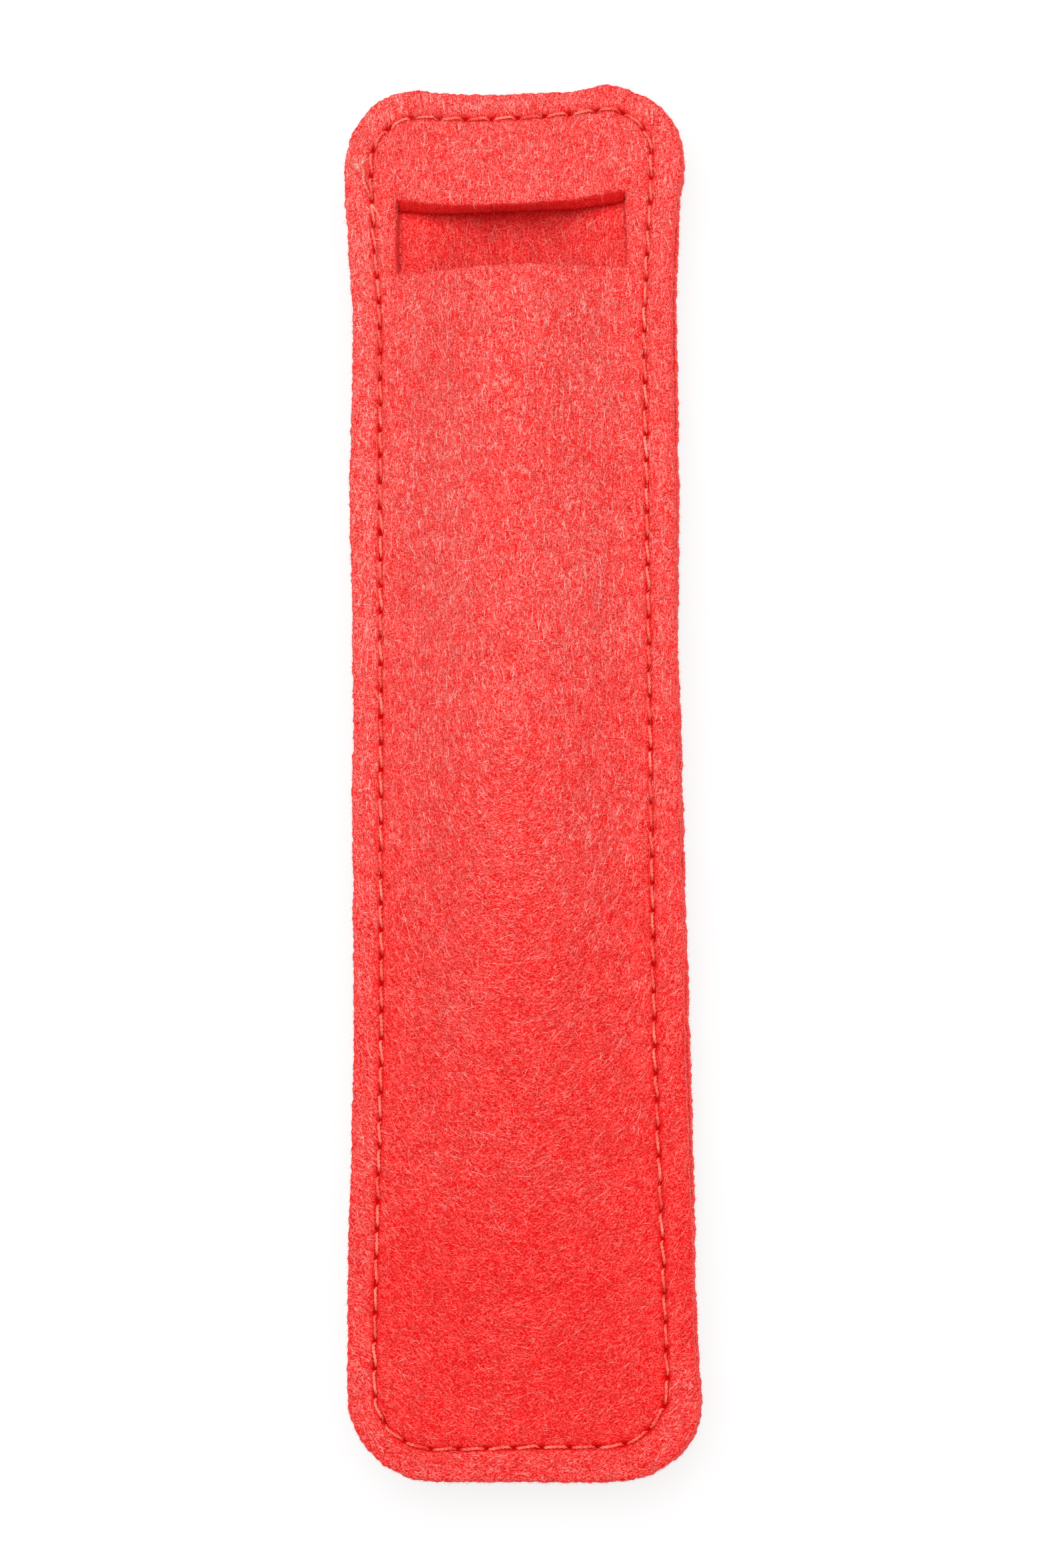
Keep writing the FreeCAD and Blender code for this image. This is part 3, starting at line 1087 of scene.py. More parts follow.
def felt_material(label, fibre_strength, bump):
    """The ground, then the fibres over it, then the cut face with its painted light, shade and glints, and
    the seam's groove and holes with their painted shade, over both.
    """
    material, tree, shader, place = new_material(label)
    pressed_and_shade, nap_and_light, cut, fuzz_and_light = [mark(tree, name) for name in ("pressed_and_shade", "nap_and_light", "cut", "fuzz_and_light")]
    ground = add_node(tree, "ShaderNodeGroup", node_tree=felt_ground)
    # Paler where the nap number is high: painted light towards the top of the sleeve.
    paler = times(tree, minus(tree, nap_and_light, 0.5), nap_and_light_paler)
    set_inputs(tree, ground, {"Place": place, "Paler": paler})
    fibre = times(tree, shader_fibres(tree, place, ground, nap_and_light, pressed_and_shade, cut), fibre_strength)
    colour = mixed(tree, fibre, ground.outputs["Colour"], fibre_pale)

    # White speckles on the cut are painted glints of fibre ends.
    speckle = add_node(tree, "ShaderNodeTexVoronoi", {"Vector": place, "Scale": speckle_scale})
    ends = minus(tree, 1.0, ramp(tree, speckle.outputs["Distance"], *speckle_size))
    on_cut = ramp(tree, cut, *cut_above)
    # Painted light and shade on the cut: deep red on the shaded window cut, a lighter red on the lit outer
    # cut.
    shaded_cut = times(tree, on_cut, minus(tree, 0.5, times(tree, fuzz_and_light, 0.5)))
    glint_speckles = times(tree, times(tree, ends, on_cut), times(tree, fuzz_and_light, glint_share_on_cut))
    colour = mixed(tree, shaded_cut, colour, shade_red)
    colour = mixed(tree, times(tree, on_cut, times(tree, fuzz_and_light, cut_lit_share)), colour, cut_lit_red)
    colour = mixed(tree, glint_speckles, colour, glint_white)
    # Painted shade: deeper red in the seam's groove, its needle holes, under the window's strip and along the
    # foot of its cut.
    colour = mixed(tree, times(tree, pressed_and_shade, pressed_and_shade_deep), colour, shade_red)
    colour = mixed(tree, ramp(tree, pressed_and_shade, 0.6, 1.0, 0.0, 0.8), colour, hole_shadow_red)

    height = plus(tree, ground.outputs["Height"], times(tree, fibre, 0.5))
    set_inputs(tree, shader, {
        "Base Color": colour,
        "Normal": bumped(tree, bump, bump_distance, height),
        "Roughness": ramp(tree, fibre, 0.0, 1.0, 0.95, 0.75, smoothly=False),
        "Specular IOR Level": 0.04,
        "Subsurface Weight": 0.45,
        "Subsurface Radius": light_by_colour,
        "Subsurface Scale": light_depth,
        "Sheen Weight": 0.02,
        "Sheen Roughness": 0.5,
        "Sheen Tint": fibre_pale,
    })
    return material


front_material = felt_material("felt_front", fibre_strength=0.95, bump=0.9)
back_material = felt_material("felt_back", fibre_strength=0.75, bump=0.8)
front_felt.data.materials.append(front_material)
back_felt.data.materials.append(back_material)
print("felt material has", len(front_material.node_tree.nodes), "nodes")

# %% [markdown]
# ## Loose fibres
# Some fibres lie free on the face, long and nearly straight. They are what catches the light, so they are
# real geometry. A hair system would be the usual tool, but hair doesn't export. A Geometry Nodes tree
# scatters points over the face, lays a straight line on each along the lay with a random turn, bends it,
# drops every point of it onto the felt, and gives it a thin tapered tube.
#
# A second tree plants short fibres in the cut edges, where the knife freed their ends. They break up the
# outline, which in a real felt is never a clean line.

# %% What both fibre trees share
fibre_radius = 0.017 * MM
fibre_sides = 3
end_taper = 0.6
z_axis = (0.0, 0.0, 1.0)


def random_number(tree, low, high, seed):
    made = add_node(tree, "FunctionNodeRandomValue", {2: low, 3: high, "Seed": seed}, data_type="FLOAT")
    return made.outputs[1]


def stored(tree, geometry, label, value):
    inputs = {"Geometry": geometry, "Name": label, "Value": value}
    return first_output(tree, "GeometryNodeStoreNamedAttribute", inputs, data_type="FLOAT", domain="INSTANCE")


def scattered(tree, given, share):
    """Points over the felt, as dense as share says, and the felt's normal at each."""
    scatter = add_node(tree, "GeometryNodeDistributePointsOnFaces", {
        "Mesh": given["Geometry"], "Density": times(tree, share, given["Density"]), "Seed": given["Seed"],
    })
    return scatter.outputs["Points"], scatter.outputs["Normal"]


def turned(tree, facing, angle):
    """The rotation facing, turned further about its own Z."""
    spin = first_output(tree, "FunctionNodeAxisAngleToRotation", {"Axis": z_axis, "Angle": angle})
    return first_output(tree, "FunctionNodeRotateRotation", {0: facing, 1: spin}, rotation_space="LOCAL")


def facing_z(tree, way):
    return first_output(tree, "FunctionNodeAlignRotationToVector", {"Vector": way}, axis="Z")


def copied(tree, points, spine, facing, size):
    return first_output(tree, "GeometryNodeInstanceOnPoints", {
        "Points": points, "Instance": spine, "Rotation": facing, "Scale": size,
    })


def real(tree, geometry):
    return first_output(tree, "GeometryNodeRealizeInstances", {"Geometry": geometry})


def share_along(tree):
    return add_node(tree, "GeometryNodeSplineParameter").outputs["Factor"]


def from_middle_of(tree, t):
    """0 at the middle of a fibre and 1 at both ends."""
    return calc(tree, "ABSOLUTE", minus(tree, times(tree, t, 2.0), 1.0))


def finish_fibres(tree, given, result, curves, t):
    """Gives the curves a tapered three-sided tube and a material."""
    taper = minus(tree, 1.0, times(tree, calc(tree, "POWER", from_middle_of(tree, t), 3.0), end_taper))
    sized = first_output(tree, "GeometryNodeSetCurveRadius", {"Curve": curves, "Radius": taper})
    round_section = {"Resolution": fibre_sides, "Radius": given["Radius"]}
    ring = first_output(tree, "GeometryNodeCurvePrimitiveCircle", round_section)
    tubes = first_output(tree, "GeometryNodeCurveToMesh", {
        "Curve": sized, "Profile Curve": ring, "Scale": taper, "Fill Caps": True,
    })
    painted = {"Geometry": real(tree, tubes), "Material": given["Material"]}
    tree.links.new(first_output(tree, "GeometryNodeSetMaterial", painted), result[0])


print("a loose fibre is", in_mm(2 * fibre_radius, 3), "mm thick")

# %% Fibres that lie on the face
least_nap = 0.14
some_shorter = (0.35, 1.0)
some_stretched = (0.6, 1.6)
tone_when_flat, tone_by_nap_and_light = 0.68, 0.45
keep_to_lay = 0.72
stray_turn = 1.6
spine_points = 5
wave_share = 0.45
lift_at_middle = 0.25
drop_height = 3 * MM


def turn_from_lay(tree, given):
    """Most fibres turn a little from the lay, fewer of them further, and some lie anyhow."""
    turn = times(tree, random_number(tree, -1.0, 1.0, 11), random_number(tree, 0.0, 1.0, 12))
    turn = times(tree, turn, times(tree, given["Turn spread"], 2.0))
    astray = calc(tree, "GREATER_THAN", random_number(tree, 0.0, 1.0, 13), keep_to_lay)
    return plus(tree, turn, times(tree, astray, random_number(tree, -stray_turn, stray_turn, 14)))


def bent(tree, given, curves, t):
    """Bends each fibre sideways, to one arch and a weaker wave."""
    tangent = first_output(tree, "GeometryNodeInputTangent")
    sideways = vector_calc(tree, "CROSS_PRODUCT", tangent, z_axis)
    arch = times(tree, attribute(tree, "bow"), calc(tree, "SINE", times(tree, t, math.pi)))
    wave = times(tree, attribute(tree, "hook"), calc(tree, "SINE", times(tree, t, 2 * math.pi)))
    bend = times(tree, plus(tree, arch, times(tree, wave, wave_share)), given["Bend"])
    moved = {"Geometry": curves, "Offset": vector_calc(tree, "SCALE", sideways, bend)}
    return first_output(tree, "GeometryNodeSetPosition", moved)


def dropped(tree, given, curves, t):
    """Drops every point of the fibres onto the felt, and lifts their ends a little."""
    place = first_output(tree, "GeometryNodeInputPosition")
    above = along_z(tree, times(tree, given["Side"], drop_height))
    cast = add_node(tree, "GeometryNodeRaycast", {
        "Target Geometry": given["Geometry"], "Source Position": vector_calc(tree, "ADD", place, above),
        "Ray Direction": along_z(tree, times(tree, given["Side"], -1.0)), "Ray Length": 2 * drop_height,
    }).outputs
    ends_up = times(tree, calc(tree, "POWER", from_middle_of(tree, t), 2.0), attribute(tree, "tone"))
    height = times(tree, given["Lift"], plus(tree, lift_at_middle, ends_up))
    lift = vector_calc(tree, "SCALE", cast["Hit Normal"], height)
    lifted = vector_calc(tree, "ADD", cast["Hit Position"], lift)
    moved = {"Geometry": curves, "Selection": cast["Is Hit"], "Position": lifted}
    return first_output(tree, "GeometryNodeSetPosition", moved)


def lying_fibres_tree():
    tree, given, result = geometry_tree("Lying fibres", {
        "Density": 2.0e6,
        "Length": 1.8 * MM,
        "Turn spread": 0.45,
        "Bend": 0.10 * MM,
        "Radius": fibre_radius,
        "Lift": 0.05 * MM,
        "Side": 1.0,
        "In window": 0.0,
        "Seed": 1,
    })
    nap_and_light = attribute(tree, "nap_and_light")
    place = first_output(tree, "ShaderNodeMix", {
        "Factor": given["In window"], 2: attribute(tree, "face_side"), 3: attribute(tree, "in_window"),
    }, data_type="FLOAT")
    points, normal = scattered(tree, given, times(tree, place, plus(tree, least_nap, nap_and_light)))
    along_lay = first_output(tree, "FunctionNodeAlignRotationToVector", {
        "Rotation": facing_z(tree, normal), "Vector": attribute(tree, "lay_way", "FLOAT_VECTOR"),
    }, axis="X", pivot_axis="Z")
    facing = turned(tree, along_lay, turn_from_lay(tree, given))
    line = {"Start": (-0.5, 0.0, 0.0), "End": (0.5, 0.0, 0.0)}
    spine = first_output(tree, "GeometryNodeCurvePrimitiveLine", line)
    spine = first_output(tree, "GeometryNodeResampleCurve", {"Curve": spine, "Count": spine_points})
    reach = times(tree, random_number(tree, *some_shorter, 15), random_number(tree, *some_stretched, 16))
    placed = copied(tree, points, spine, facing, times(tree, reach, given["Length"]))
    # Fibre tone follows the nap number too, so fibres are painted paler towards the top: painted light.
    paler = plus(tree, tone_when_flat, times(tree, nap_and_light, tone_by_nap_and_light))
    placed = stored(tree, placed, "tone", times(tree, random_number(tree, 0.0, 1.0, 17), paler))
    placed = stored(tree, placed, "bow", random_number(tree, -1.0, 1.0, 18))
    placed = stored(tree, placed, "hook", random_number(tree, -1.0, 1.0, 19))
    t = share_along(tree)
    curves = bent(tree, given, real(tree, placed), t)
    finish_fibres(tree, given, result, dropped(tree, given, curves, t), t)
    return tree


lying_fibres = lying_fibres_tree()
print(lying_fibres.name, "tree has", len(lying_fibres.nodes), "nodes")

# %% Fibres that stand in the cut
standing_reach = (0.25, 1.0)
standing_reach_added = 0.15
standing_reach_scale = 1.6
full_turn = 6.28


def edge_fibres_tree():
    tree, given, result = geometry_tree("Edge fibres", {
        "Density": 11.0e6,
        "Length": 0.24 * MM,
        "Spread": 1.1,
        "Radius": fibre_radius,
        "Seed": 1,
    })
    on_edge = times(tree, ramp(tree, attribute(tree, "cut"), 0.5, 0.7), attribute(tree, "fuzz_and_light"))
    points, normal = scattered(tree, given, on_edge)
    any_way = {0: (-1.0, -1.0, -1.0), 1: (1.0, 1.0, 1.0), "Seed": 21}
    lean = first_output(tree, "FunctionNodeRandomValue", any_way, data_type="FLOAT_VECTOR")
    way = vector_calc(tree, "ADD", normal, vector_calc(tree, "SCALE", lean, given["Spread"]))
    spine = first_output(tree, "GeometryNodeCurvePrimitiveBezierSegment", {
        "Resolution": 3, "Start": (0.0, 0.0, -0.08), "Start Handle": (0.05, 0.0, 0.3),
        "End Handle": (0.3, 0.1, 0.75), "End": (0.42, 0.2, 0.95),
    })
    facing = turned(tree, facing_z(tree, way), random_number(tree, 0.0, full_turn, 22))
    squared = calc(tree, "POWER", random_number(tree, *standing_reach, 23), 2.0)
    reach = plus(tree, squared, standing_reach_added)
    reach = times(tree, reach, times(tree, given["Length"], standing_reach_scale))
    placed = copied(tree, points, spine, facing, reach)
    placed = stored(tree, placed, "tone", random_number(tree, 0.0, 1.0, 24))
    finish_fibres(tree, given, result, real(tree, placed), share_along(tree))
    return tree


edge_fibres = edge_fibres_tree()
print(edge_fibres.name, "tree has", len(edge_fibres.nodes), "nodes")

# %% [markdown]
# ## Fibre material
# A single fibre is clear nylon or wool with a little dye, so most are pink. Each fibre carries its own tone,
# from 0 to 1, on its mesh. The palest fibres turn near-white only in noise patches of painted glints, and
# outside those patches a noise dims the fibres towards the face red, as painted shade.


# %% Fibre material
def fibre_material(label, deepest, common, glint_colour, glint_above):
    material, tree, shader, place = new_material(label)
    patches = noise_pattern(tree, place, 1.6, 2.0)
    tone = plus(tree, mark(tree, "tone"), times(tree, minus(tree, patches, 0.5), 0.8))
    glints = noise_pattern(tree, place, 1.6, 1.0)
    # Painted glints: the fibres whiten in noise patches and dim towards the face red outside them.
    seen = ramp(tree, glints, 0.40, 0.54, 0.25, 1.0)
    colour = mixed(tree, times(tree, ramp(tree, tone, 0.1, 0.7), seen), deepest, common)
    glint = times(tree, ramp(tree, tone, glint_above, 1.0), ramp(tree, glints, 0.45, 0.54))
    set_inputs(tree, shader, {
        "Base Color": mixed(tree, glint, colour, glint_colour),
        "Roughness": ramp(tree, patches, 0.3, 0.7, 0.55, 0.8),
        "Normal": bumped(tree, 0.3, 0.01 * MM, patches),
        "Specular IOR Level": 0.1,
    })
    return material


face_fibre = fibre_material("felt_fibre", felt_face, fibre_pale, glint_white, glint_above=0.55)
thread_fibre = fibre_material("thread_fibre", thread_red, fibre_pale, glint_white, glint_above=0.3)
edge_fibre = fibre_material("felt_edge_fibre", felt_face, fibre_warm, glint_white, glint_above=0.7)
print("fibre materials:", [made.name for made in (face_fibre, thread_fibre, edge_fibre)])

# %% Grow the fibres
front_density, back_density, window_density = 1.3e6, 1.2e6, 3.2e6
fibre_pieces = []


def grow(name, source, node, tree, values, material):
    fibre_pieces.append((grown(name, source, tree, values, material), node))


for number in range(4):
    values = {"Seed": 31 + number, "Density": front_density}
    grow(f"front_fibres_{number + 1}", front_felt, "front_panel", lying_fibres, values, face_fibre)
for number in range(2):
    values = {"Seed": 61 + number, "Density": back_density, "Side": -1.0}
    grow(f"back_fibres_{number + 1}", back_felt, "back_panel", lying_fibres, values, face_fibre)
values = {"Seed": 81, "Density": window_density, "In window": 1.0}
grow("window_fibres", back_felt, "back_panel", lying_fibres, values, face_fibre)
grow("front_edge_fibres", front_felt, "front_panel", edge_fibres, {"Seed": 71}, edge_fibre)
grow("back_edge_fibres", back_felt, "back_panel", edge_fibres, {"Seed": 72}, edge_fibre)

# %% [markdown]
# ## The thread
# A lockstitch shows as short bars of thread that dive into the felt at each hole. Modelling each bar by hand
# would be slow, and placing copies would leave loose ends. Here the seam line itself becomes the thread: it
# is a string of points, and a Geometry Nodes tree dips it at each hole, slants each stitch a little, and
# winds two plies round it. The seam's end laps its start beside it, and the first end lies loose.

# %% Seam route
lap_stitches = 3
fluffing = 1.12
lap_offset = 0.85 * MM
tail_length = 4.4 * MM
tail_spread = 1.3 * MM
tail_points = 18
tail_spread_power = 1.4
tail_curl = 0.25 * MM
tail_curl_turn = 5.0
tail_lift = 0.36 * MM
tail_release = 3
stub_points = 5
stub_sewn = 0.8
sunk_sewn = 0.55
sunk_loose = 0.25


def seam_route(name, side):
    """The thread's line on the felt as a string of points, from its loose end to its last stitch."""
    loop, along, inward = seam_line.points, seam_line.along, seam_line.inward
    step = stitch_step / points_per_stitch
    back = np.linspace(1, 0, tail_points, endpoint=False)
    curl = np.sin(back * tail_curl_turn) * tail_curl
    aside = (tail_spread * back ** tail_spread_power + curl)[:, None]
    tail = loop[0] - along[0] * (back * tail_length)[:, None] - inward[0] * aside
    lap_count = lap_stitches * points_per_stitch + stub_points
    shift = lap_offset * smooth(np.arange(lap_count) / points_per_stitch)
    lap = loop[:lap_count] + inward[:lap_count] * shift[:, None]
    route = np.vstack([tail, loop, lap])
    arc = np.concatenate([-back * tail_length, np.arange(len(loop) + lap_count) * step])
    sewn = np.ones(len(route))
    sewn[:tail_points] = smooth(1 - back * tail_release)
    sewn[-stub_points:] = np.linspace(stub_sewn, 0.0, stub_points)
    across = np.vstack([np.tile(inward[0], (tail_points, 1)), inward, inward[:lap_count]])
    face = meeting_plane + side * (felt_thickness + thread_diameter / 2)
    sunk = groove_depth * (sunk_sewn * sewn + sunk_loose * (1 - sewn))
    z = face - side * (sunk - tail_lift * (1 - sewn))
    links = [(i, i + 1) for i in range(len(route) - 1)]
    points = np.column_stack([route, z])
    return new_mesh(name, points, links, [], {"arc": arc, "sewn": sewn, "across": with_z(across)})


print("the seam laps its start by", lap_stitches, "stitches")

# %% Thread tree
ply_radius_share = 0.255
ply_offset_share = 0.25
ply_sides = 6
stitches_added = 8.0  # a whole number, so that the tail's count is above 0


def thread_tree():
    tree, given, result = geometry_tree("Two-ply lockstitch", {
        "Stitch": stitch_step,
        "Thread diameter": thread_diameter * fluffing,
        "Dive": 1.5 * MM,
        "Hole share": 0.5,
        "Arch": 0.10 * MM,
        "Slant": 0.15 * MM,
        "Twists per stitch": 3.2,
        "Side": 1.0,
        "Unevenness": 0.20 * MM,
    })
    arc = attribute(tree, "arc")
    sewn = attribute(tree, "sewn")
    across = attribute(tree, "across", "FLOAT_VECTOR")
    stitches = calc(tree, "DIVIDE", arc, given["Stitch"])
    phase = calc(tree, "FRACT", plus(tree, stitches, stitches_added))
    from_middle = times(tree, calc(tree, "ABSOLUTE", minus(tree, phase, 0.5)), 2.0)
    dip = ramp(tree, from_middle, minus(tree, 1.0, given["Hole share"]), 1.0)
    arch = times(tree, given["Arch"], minus(tree, 1.0, times(tree, from_middle, from_middle)))
    rise = minus(tree, arch, times(tree, dip, given["Dive"]))
    rise = times(tree, rise, sewn, given["Side"])
    slant = times(tree, minus(tree, phase, 0.5), times(tree, given["Slant"], 2.0))
    slant = times(tree, slant, minus(tree, 1.0, dip))
    place = first_output(tree, "GeometryNodeInputPosition")
    wobble = noise_pattern(tree, place, 0.35 / MM, 1.0)
    uneven = times(tree, minus(tree, wobble, 0.5), times(tree, given["Unevenness"], 2.0))
    sideways = vector_calc(tree, "SCALE", across, plus(tree, slant, uneven))
    offset = vector_calc(tree, "ADD", sideways, along_z(tree, rise))
    curve = first_output(tree, "GeometryNodeMeshToCurve", {"Mesh": given["Geometry"]})
    path = first_output(tree, "GeometryNodeSetPosition", {"Geometry": curve, "Offset": offset})
    ply_radius = times(tree, given["Thread diameter"], ply_radius_share)
    ply_offset = times(tree, given["Thread diameter"], ply_offset_share)
    wind = times(tree, stitches, given["Twists per stitch"], 2 * math.pi)
    round_section = {"Resolution": ply_sides, "Radius": ply_radius}
    ring = first_output(tree, "GeometryNodeCurvePrimitiveCircle", round_section)
    plies = add_node(tree, "GeometryNodeJoinGeometry")
    for start in (0.0, math.pi):
        angle = plus(tree, wind, start)
        out = vector_calc(tree, "SCALE", across, times(tree, calc(tree, "COSINE", angle), ply_offset))
        up = along_z(tree, times(tree, calc(tree, "SINE", angle), ply_offset))
        moved = {"Geometry": path, "Offset": vector_calc(tree, "ADD", out, up)}
        ply = first_output(tree, "GeometryNodeSetPosition", moved)
        section = {"Curve": ply, "Profile Curve": ring, "Fill Caps": True}
        tree.links.new(first_output(tree, "GeometryNodeCurveToMesh", section), plies.inputs[0])
    smoothed = first_output(tree, "GeometryNodeSetShadeSmooth", {"Geometry": plies.outputs[0]})
    painted = {"Geometry": real(tree, smoothed), "Material": given["Material"]}
    tree.links.new(first_output(tree, "GeometryNodeSetMaterial", painted), result[0])
    return tree


lockstitch = thread_tree()
print(lockstitch.name, "tree has", len(lockstitch.nodes), "nodes")

# %% [markdown]
# ## Thread material
# Spun polyester thread is smoother than felt: its filaments make fine pale lines, which are painted
# highlights, and it has a soft shine.
# It is a shade more orange than the felt, which is why the seam can be seen at all.


# %% Thread material
def thread_material():
    material, tree, shader, place = new_material("thread")
    filaments = noise_pattern(tree, place, 6.0, 2.0)
    patches = noise_pattern(tree, place, 0.3, 1.0)
    tone = plus(tree, times(tree, filaments, 0.6), times(tree, patches, 0.4))
    colour = mixed(tree, ramp(tree, tone, 0.38, 0.56), thread_deep, thread_red)
    set_inputs(tree, shader, {
        # Pale lines along the filaments are painted highlights.
        "Base Color": mixed(tree, ramp(tree, tone, 0.55, 0.64, 0.0, 0.85), colour, fibre_pale),
        "Normal": bumped(tree, 0.5, 0.04 * MM, filaments),
        "Roughness": ramp(tree, filaments, 0.3, 0.7, 0.45, 0.7),
        "Sheen Weight": 0.2,
        "Sheen Tint": fibre_pale,
    })
    return material


thread_finish = thread_material()
threads = []
for name, side in (("needle_stitches", 1.0), ("bobbin_stitches", -1.0)):
    string = seam_route(name + "_route", side)
    threads.append(grown(name, string, lockstitch, {"Side": side}, thread_finish))
    bpy.data.objects.remove(string)
needle_stitches, bobbin_stitches = threads

# %% [markdown]
# ## Strays and the frayed end
# A few fibres are long enough to be told apart, so they are placed one by one, from a list.
# The thread's loose end opens into its filaments. Both are drawn as strings of points that turn a little at
# each step, and one small tree gives them their thickness.

# %% Strays and frayed end
drawn_step = 0.25 * MM
drawn_radius = 0.016 * MM
turn_kept, turn_added = 0.8, 0.4
stray_turning = 0.13
stray_tone = 0.9
stray_lift, stray_ends_up = 0.10 * MM, 0.12 * MM
filament_count = 30
filament_radius = 0.024 * MM
filament_turning = 0.2
filament_lift = 0.42 * MM
filament_heading, heading_spread = 102, 0.5  # degrees, radians
filament_lengths = (0.9, 2.4)  # in millimetres, as the next two are
filament_climbs = (-0.15, 0.1)
begin_spread = 0.12
begin_below = np.array([0.0, 0.9 * MM])
strays = [  # x, y, heading in degrees, length; in millimetres
    (-19.6, 60.2, 8, 4.2),
    (-1.5, -64.5, -14, 5.0),
    (4.2, -67.5, 28, 4.0),
    (-7.8, 5.5, 62, 3.6),
    (6.5, 12.0, 118, 4.4),
    (-12.4, -20.5, 80, 4.8),
    (11.0, 41.0, 96, 3.8),
    (2.5, 47.5, 70, 3.2),
    (-11.5, 76.8, 20, 2.8),
    (14.0, -44.0, 105, 4.2),
    (-6.0, -47.0, -35, 4.4),
    (9.0, -8.0, 140, 3.0),
]


def drawn_line(x, y, heading, length, turning, shake):
    """A string of points that sets off one way and wanders as it goes."""
    points = [(x, y)]
    turn = shake.uniform(-turning, turning)
    for _ in range(max(3, round(length / drawn_step))):
        turn = turn_kept * turn + shake.uniform(-turning, turning) * turn_added
        heading += turn
        x, y = x + drawn_step * math.cos(heading), y + drawn_step * math.sin(heading)
        points.append((x, y))
    return np.array(points)


def drawn_strings(name, lines, heights, tones):
    starts = np.cumsum([0] + [len(line) for line in lines])
    links = [(i, i + 1) for first, end in zip(starts, starts[1:]) for i in range(first, end - 1)]
    points = np.vstack([np.column_stack([line, z]) for line, z in zip(lines, heights)])
    tone = np.concatenate([np.full(len(line), value) for line, value in zip(lines, tones)])
    return new_mesh(name, points, links, [], {"tone": tone})


def drawn_fibres_tree():
    tree, given, result = geometry_tree("Drawn fibres", {"Radius": drawn_radius})
    curves = first_output(tree, "GeometryNodeMeshToCurve", {"Mesh": given["Geometry"]})
    finish_fibres(tree, given, result, curves, share_along(tree))
    return tree


def felt_height(line, lift):
    return outside(front_inside, 1, line[:, 0], line[:, 1]) + lift


drawn_fibres = drawn_fibres_tree()
shake = np.random.default_rng(5)
stray_lines = [
    drawn_line(x * MM, y * MM, math.radians(heading), length * MM, stray_turning, shake)
    for x, y, heading, length in strays
]
stray_heights = [
    felt_height(line, stray_lift + stray_ends_up * np.abs(np.linspace(-1, 1, len(line))))
    for line in stray_lines
]
stray_strings = drawn_strings("stray_route", stray_lines, stray_heights, [stray_tone] * len(stray_lines))
grow("stray_fibres", stray_strings, "front_panel", drawn_fibres, {}, face_fibre)
bpy.data.objects.remove(stray_strings)

tail_end = seam_line.points[0] - seam_line.along[0] * tail_length - seam_line.inward[0] * tail_spread
filament_lines = []
for number in range(filament_count):
    heading = math.radians(filament_heading) + shake.uniform(-heading_spread, heading_spread)
    begin = tail_end + shake.uniform(-begin_spread, begin_spread, 2) * MM - begin_below
    length = shake.uniform(*filament_lengths) * MM
    filament_lines.append(drawn_line(*begin, heading, length, filament_turning, shake))
filament_heights = []
for line in filament_lines:
    climb = shake.uniform(*filament_climbs) * MM * np.linspace(0, 1, len(line))
    filament_heights.append(felt_height(line, filament_lift + climb))
filament_tones = shake.uniform(0.3, 1.0, filament_count)
filament_strings = drawn_strings("filament_route", filament_lines, filament_heights, filament_tones)
frayed_end = grown("frayed_end", filament_strings, drawn_fibres, {"Radius": filament_radius}, thread_fibre)
bpy.data.objects.remove(filament_strings)

# %% [markdown]
# ## Camera
# The photograph looks down on the sleeve from a little below it and to its right: the window's upper cut face
# and the right-hand edges show, and the bottom is drawn slightly larger than the top. The camera stands
# where those are all true. Landmarks are printed in the photograph's pixels, to compare with it.

# %% Camera
image_width, image_height = 1568, 2352
camera_distance = 560 * MM
lean_right = math.radians(6.0)
lean_down = math.radians(11.9)
roll = math.radians(-0.47)
pixels_per_mm = 12.89
aim = Vector((0.7 * MM, -1.9 * MM, 8.0 * MM))
sensor_height = 36.0

back_way = Vector((math.tan(lean_right), -math.tan(lean_down), 1.0)).normalized()
right_way = Vector((0, 1, 0)).cross(back_way).normalized()
up_way = back_way.cross(right_way)
right_way, up_way = (
    right_way * math.cos(roll) + up_way * math.sin(roll),
    up_way * math.cos(roll) - right_way * math.sin(roll),
)
camera_data = bpy.data.cameras.new("camera")
camera_data.sensor_fit = "VERTICAL"
camera_data.sensor_height = sensor_height
camera_data.lens = sensor_height * camera_distance / (image_height / pixels_per_mm * MM)
camera_data.clip_start = 0.01
camera = new_piece("camera", camera_data)
turn = camera.matrix_world.to_3x3()
for row in range(3):
    turn[row][0], turn[row][1], turn[row][2] = right_way[row], up_way[row], back_way[row]
camera.matrix_world = turn.to_4x4()
camera.location = aim + back_way * camera_distance
bpy.context.scene.camera = camera


def in_pixels(point):
    offset = Vector(point) - (aim + back_way * camera_distance)
    scale = pixels_per_mm / MM * camera_distance / -offset.dot(back_way)
    right, up = offset.dot(right_way) * scale, offset.dot(up_way) * scale
    return round(image_width / 2 + right), round(image_height / 2 - up)


face_z = meeting_plane + felt_thickness
print("top edge", in_pixels((0, half_length - top_edge_dip, face_z)))
print("bottom edge", in_pixels((0, -half_length, face_z)))
print("window corners", [in_pixels((x, y, face_z)) for x, y in window_corners])

# %% [markdown]
# ## Floor and light
# The photograph has a white ground and soft light with hardly a shadow. A big lamp overhead and a pale world
# give that. The lamps stay at a plain level, so the felt renders about as its colours are written, and the
# floor shows white to the camera by its own material instead of by more light.

# %% Floor, lamps and world
floor_size = 1.6
floor_grey = (0.9, 0.9, 0.9, 1.0)
white = (1.0, 1.0, 1.0, 1.0)
floor_shown_white = 0.8
world_strength = 0.46


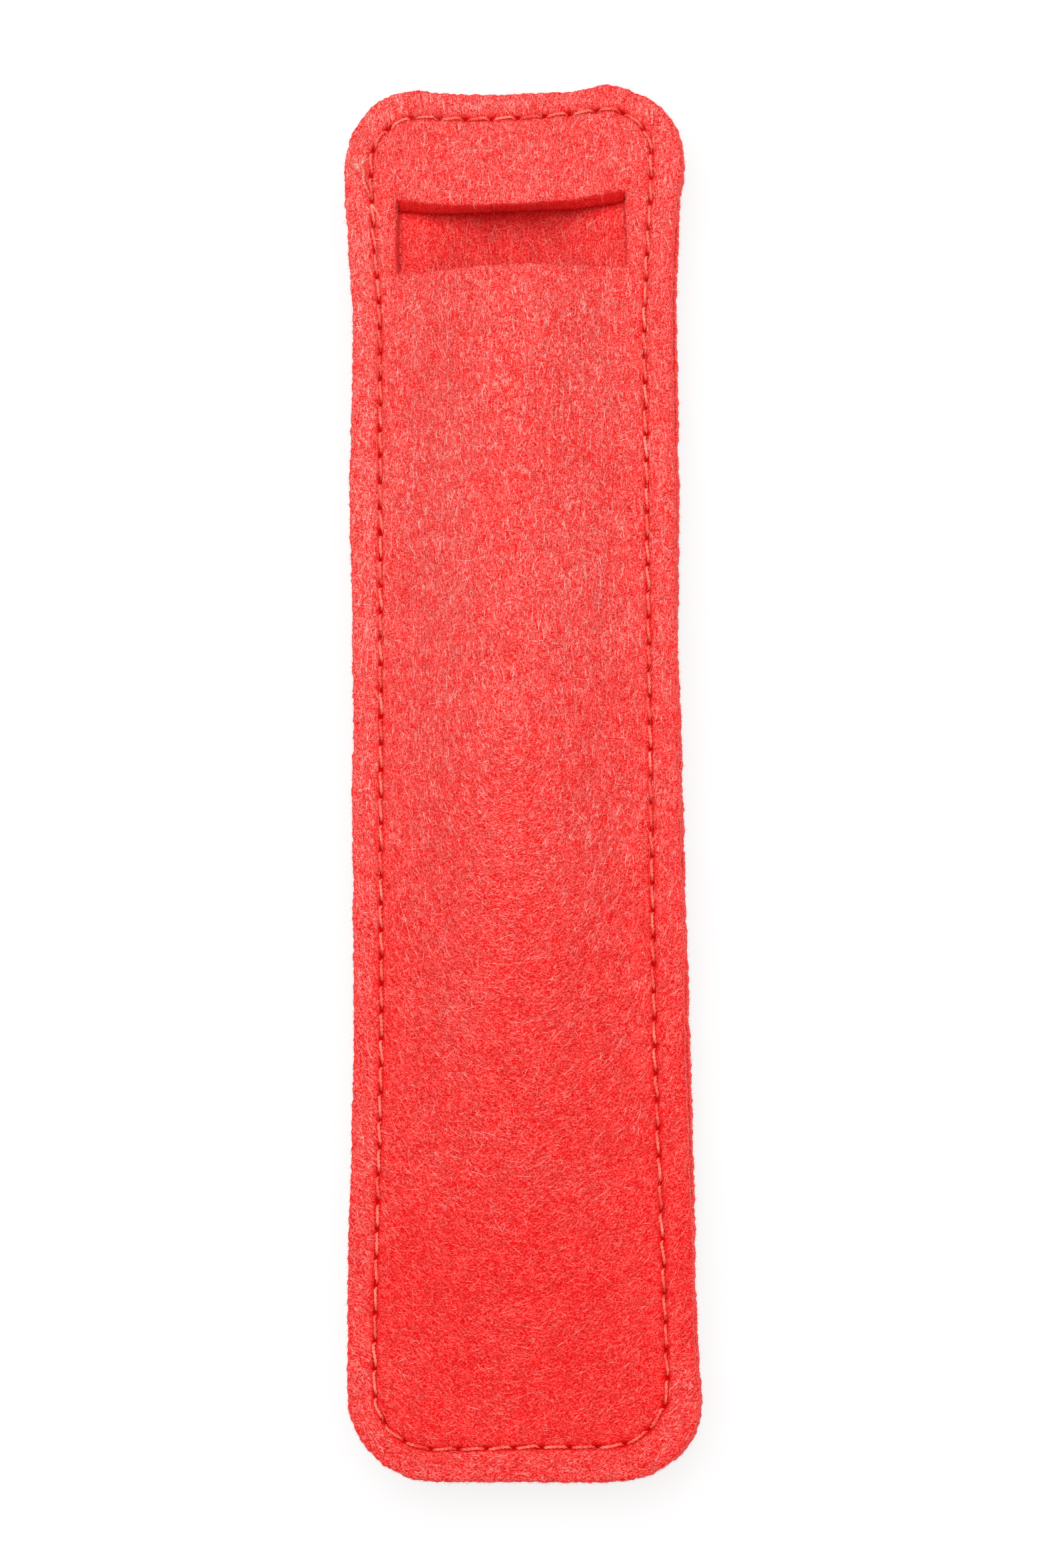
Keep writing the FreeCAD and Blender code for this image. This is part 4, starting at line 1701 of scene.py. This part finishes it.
def sees_background(tree):
    """1 for the rays by which a camera sees the ground: straight on, mirrored or through glass."""
    rays = add_node(tree, "ShaderNodeLightPath").outputs
    return largest(tree, rays["Is Camera Ray"], rays["Is Glossy Ray"], rays["Is Transmission Ray"])


def plain_floor():
    edge = floor_size / 2
    corners = np.array([(-edge, -edge, 0), (edge, -edge, 0), (edge, edge, 0), (-edge, edge, 0)])
    floor = new_mesh("floor", corners, [], [(0, 1, 2, 3)], {})
    material = bpy.data.materials.new("floor_white")
    material.use_nodes = True
    tree = material.node_tree
    tree.nodes.remove(tree.nodes["Principled BSDF"])
    matte = first_output(tree, "ShaderNodeBsdfDiffuse", {"Color": floor_grey})
    glow = first_output(tree, "ShaderNodeEmission", {"Color": white, "Strength": 1.0})
    share = times(tree, sees_background(tree), floor_shown_white)
    shown = first_output(tree, "ShaderNodeMixShader", {0: share, 1: matte, 2: glow})
    tree.links.new(shown, tree.nodes["Material Output"].inputs["Surface"])
    floor.data.materials.append(material)


def area_lamp(name, place, size, power):
    data = bpy.data.lights.new(name, "AREA")
    data.shape = "DISK"
    data.size = size
    data.energy = power
    lamp = new_piece(name, data)
    lamp.location = place
    lamp.rotation_euler = (Vector((0, 0, 0)) - Vector(place)).to_track_quat("-Z", "Y").to_euler()


plain_floor()
area_lamp("key", (-0.02, 0.10, 0.75), 0.8, 4.7)
area_lamp("fill", (0.08, 0.06, 0.7), 0.8, 1.5)
world = bpy.data.worlds.new("studio")
world.use_nodes = True
world_tree = world.node_tree
background = world_tree.nodes["Background"]
set_inputs(world_tree, background, {"Color": white, "Strength": world_strength})
seen_white = first_output(world_tree, "ShaderNodeBackground", {"Color": white, "Strength": 1.0})
sky = {0: sees_background(world_tree), 1: background.outputs[0], 2: seen_white}
shown = first_output(world_tree, "ShaderNodeMixShader", sky)
world_tree.links.new(shown, world_tree.nodes["World Output"].inputs["Surface"])
bpy.context.scene.world = world
bpy.context.scene.view_settings.view_transform = "Standard"
print("lamps:", [lamp.name for lamp in bpy.data.lights])

# %% [markdown]
# ## Hand the pieces to the frame
# The sleeve has no joints, so every piece rides on the one body. Felt of this kind is bought as sheet.

# %% Ride and replace
body = "root"
for piece, node, slot in (
    (front_felt, "front_panel", "felt_front"),
    (back_felt, "back_panel", "felt_back"),
    (needle_stitches, "needle_thread", "thread"),
    (bobbin_stitches, "bobbin_thread", "thread"),
):
    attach(piece, body)
    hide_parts(node)
for piece, node in fibre_pieces:
    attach(piece, body)
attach(frayed_end, body)
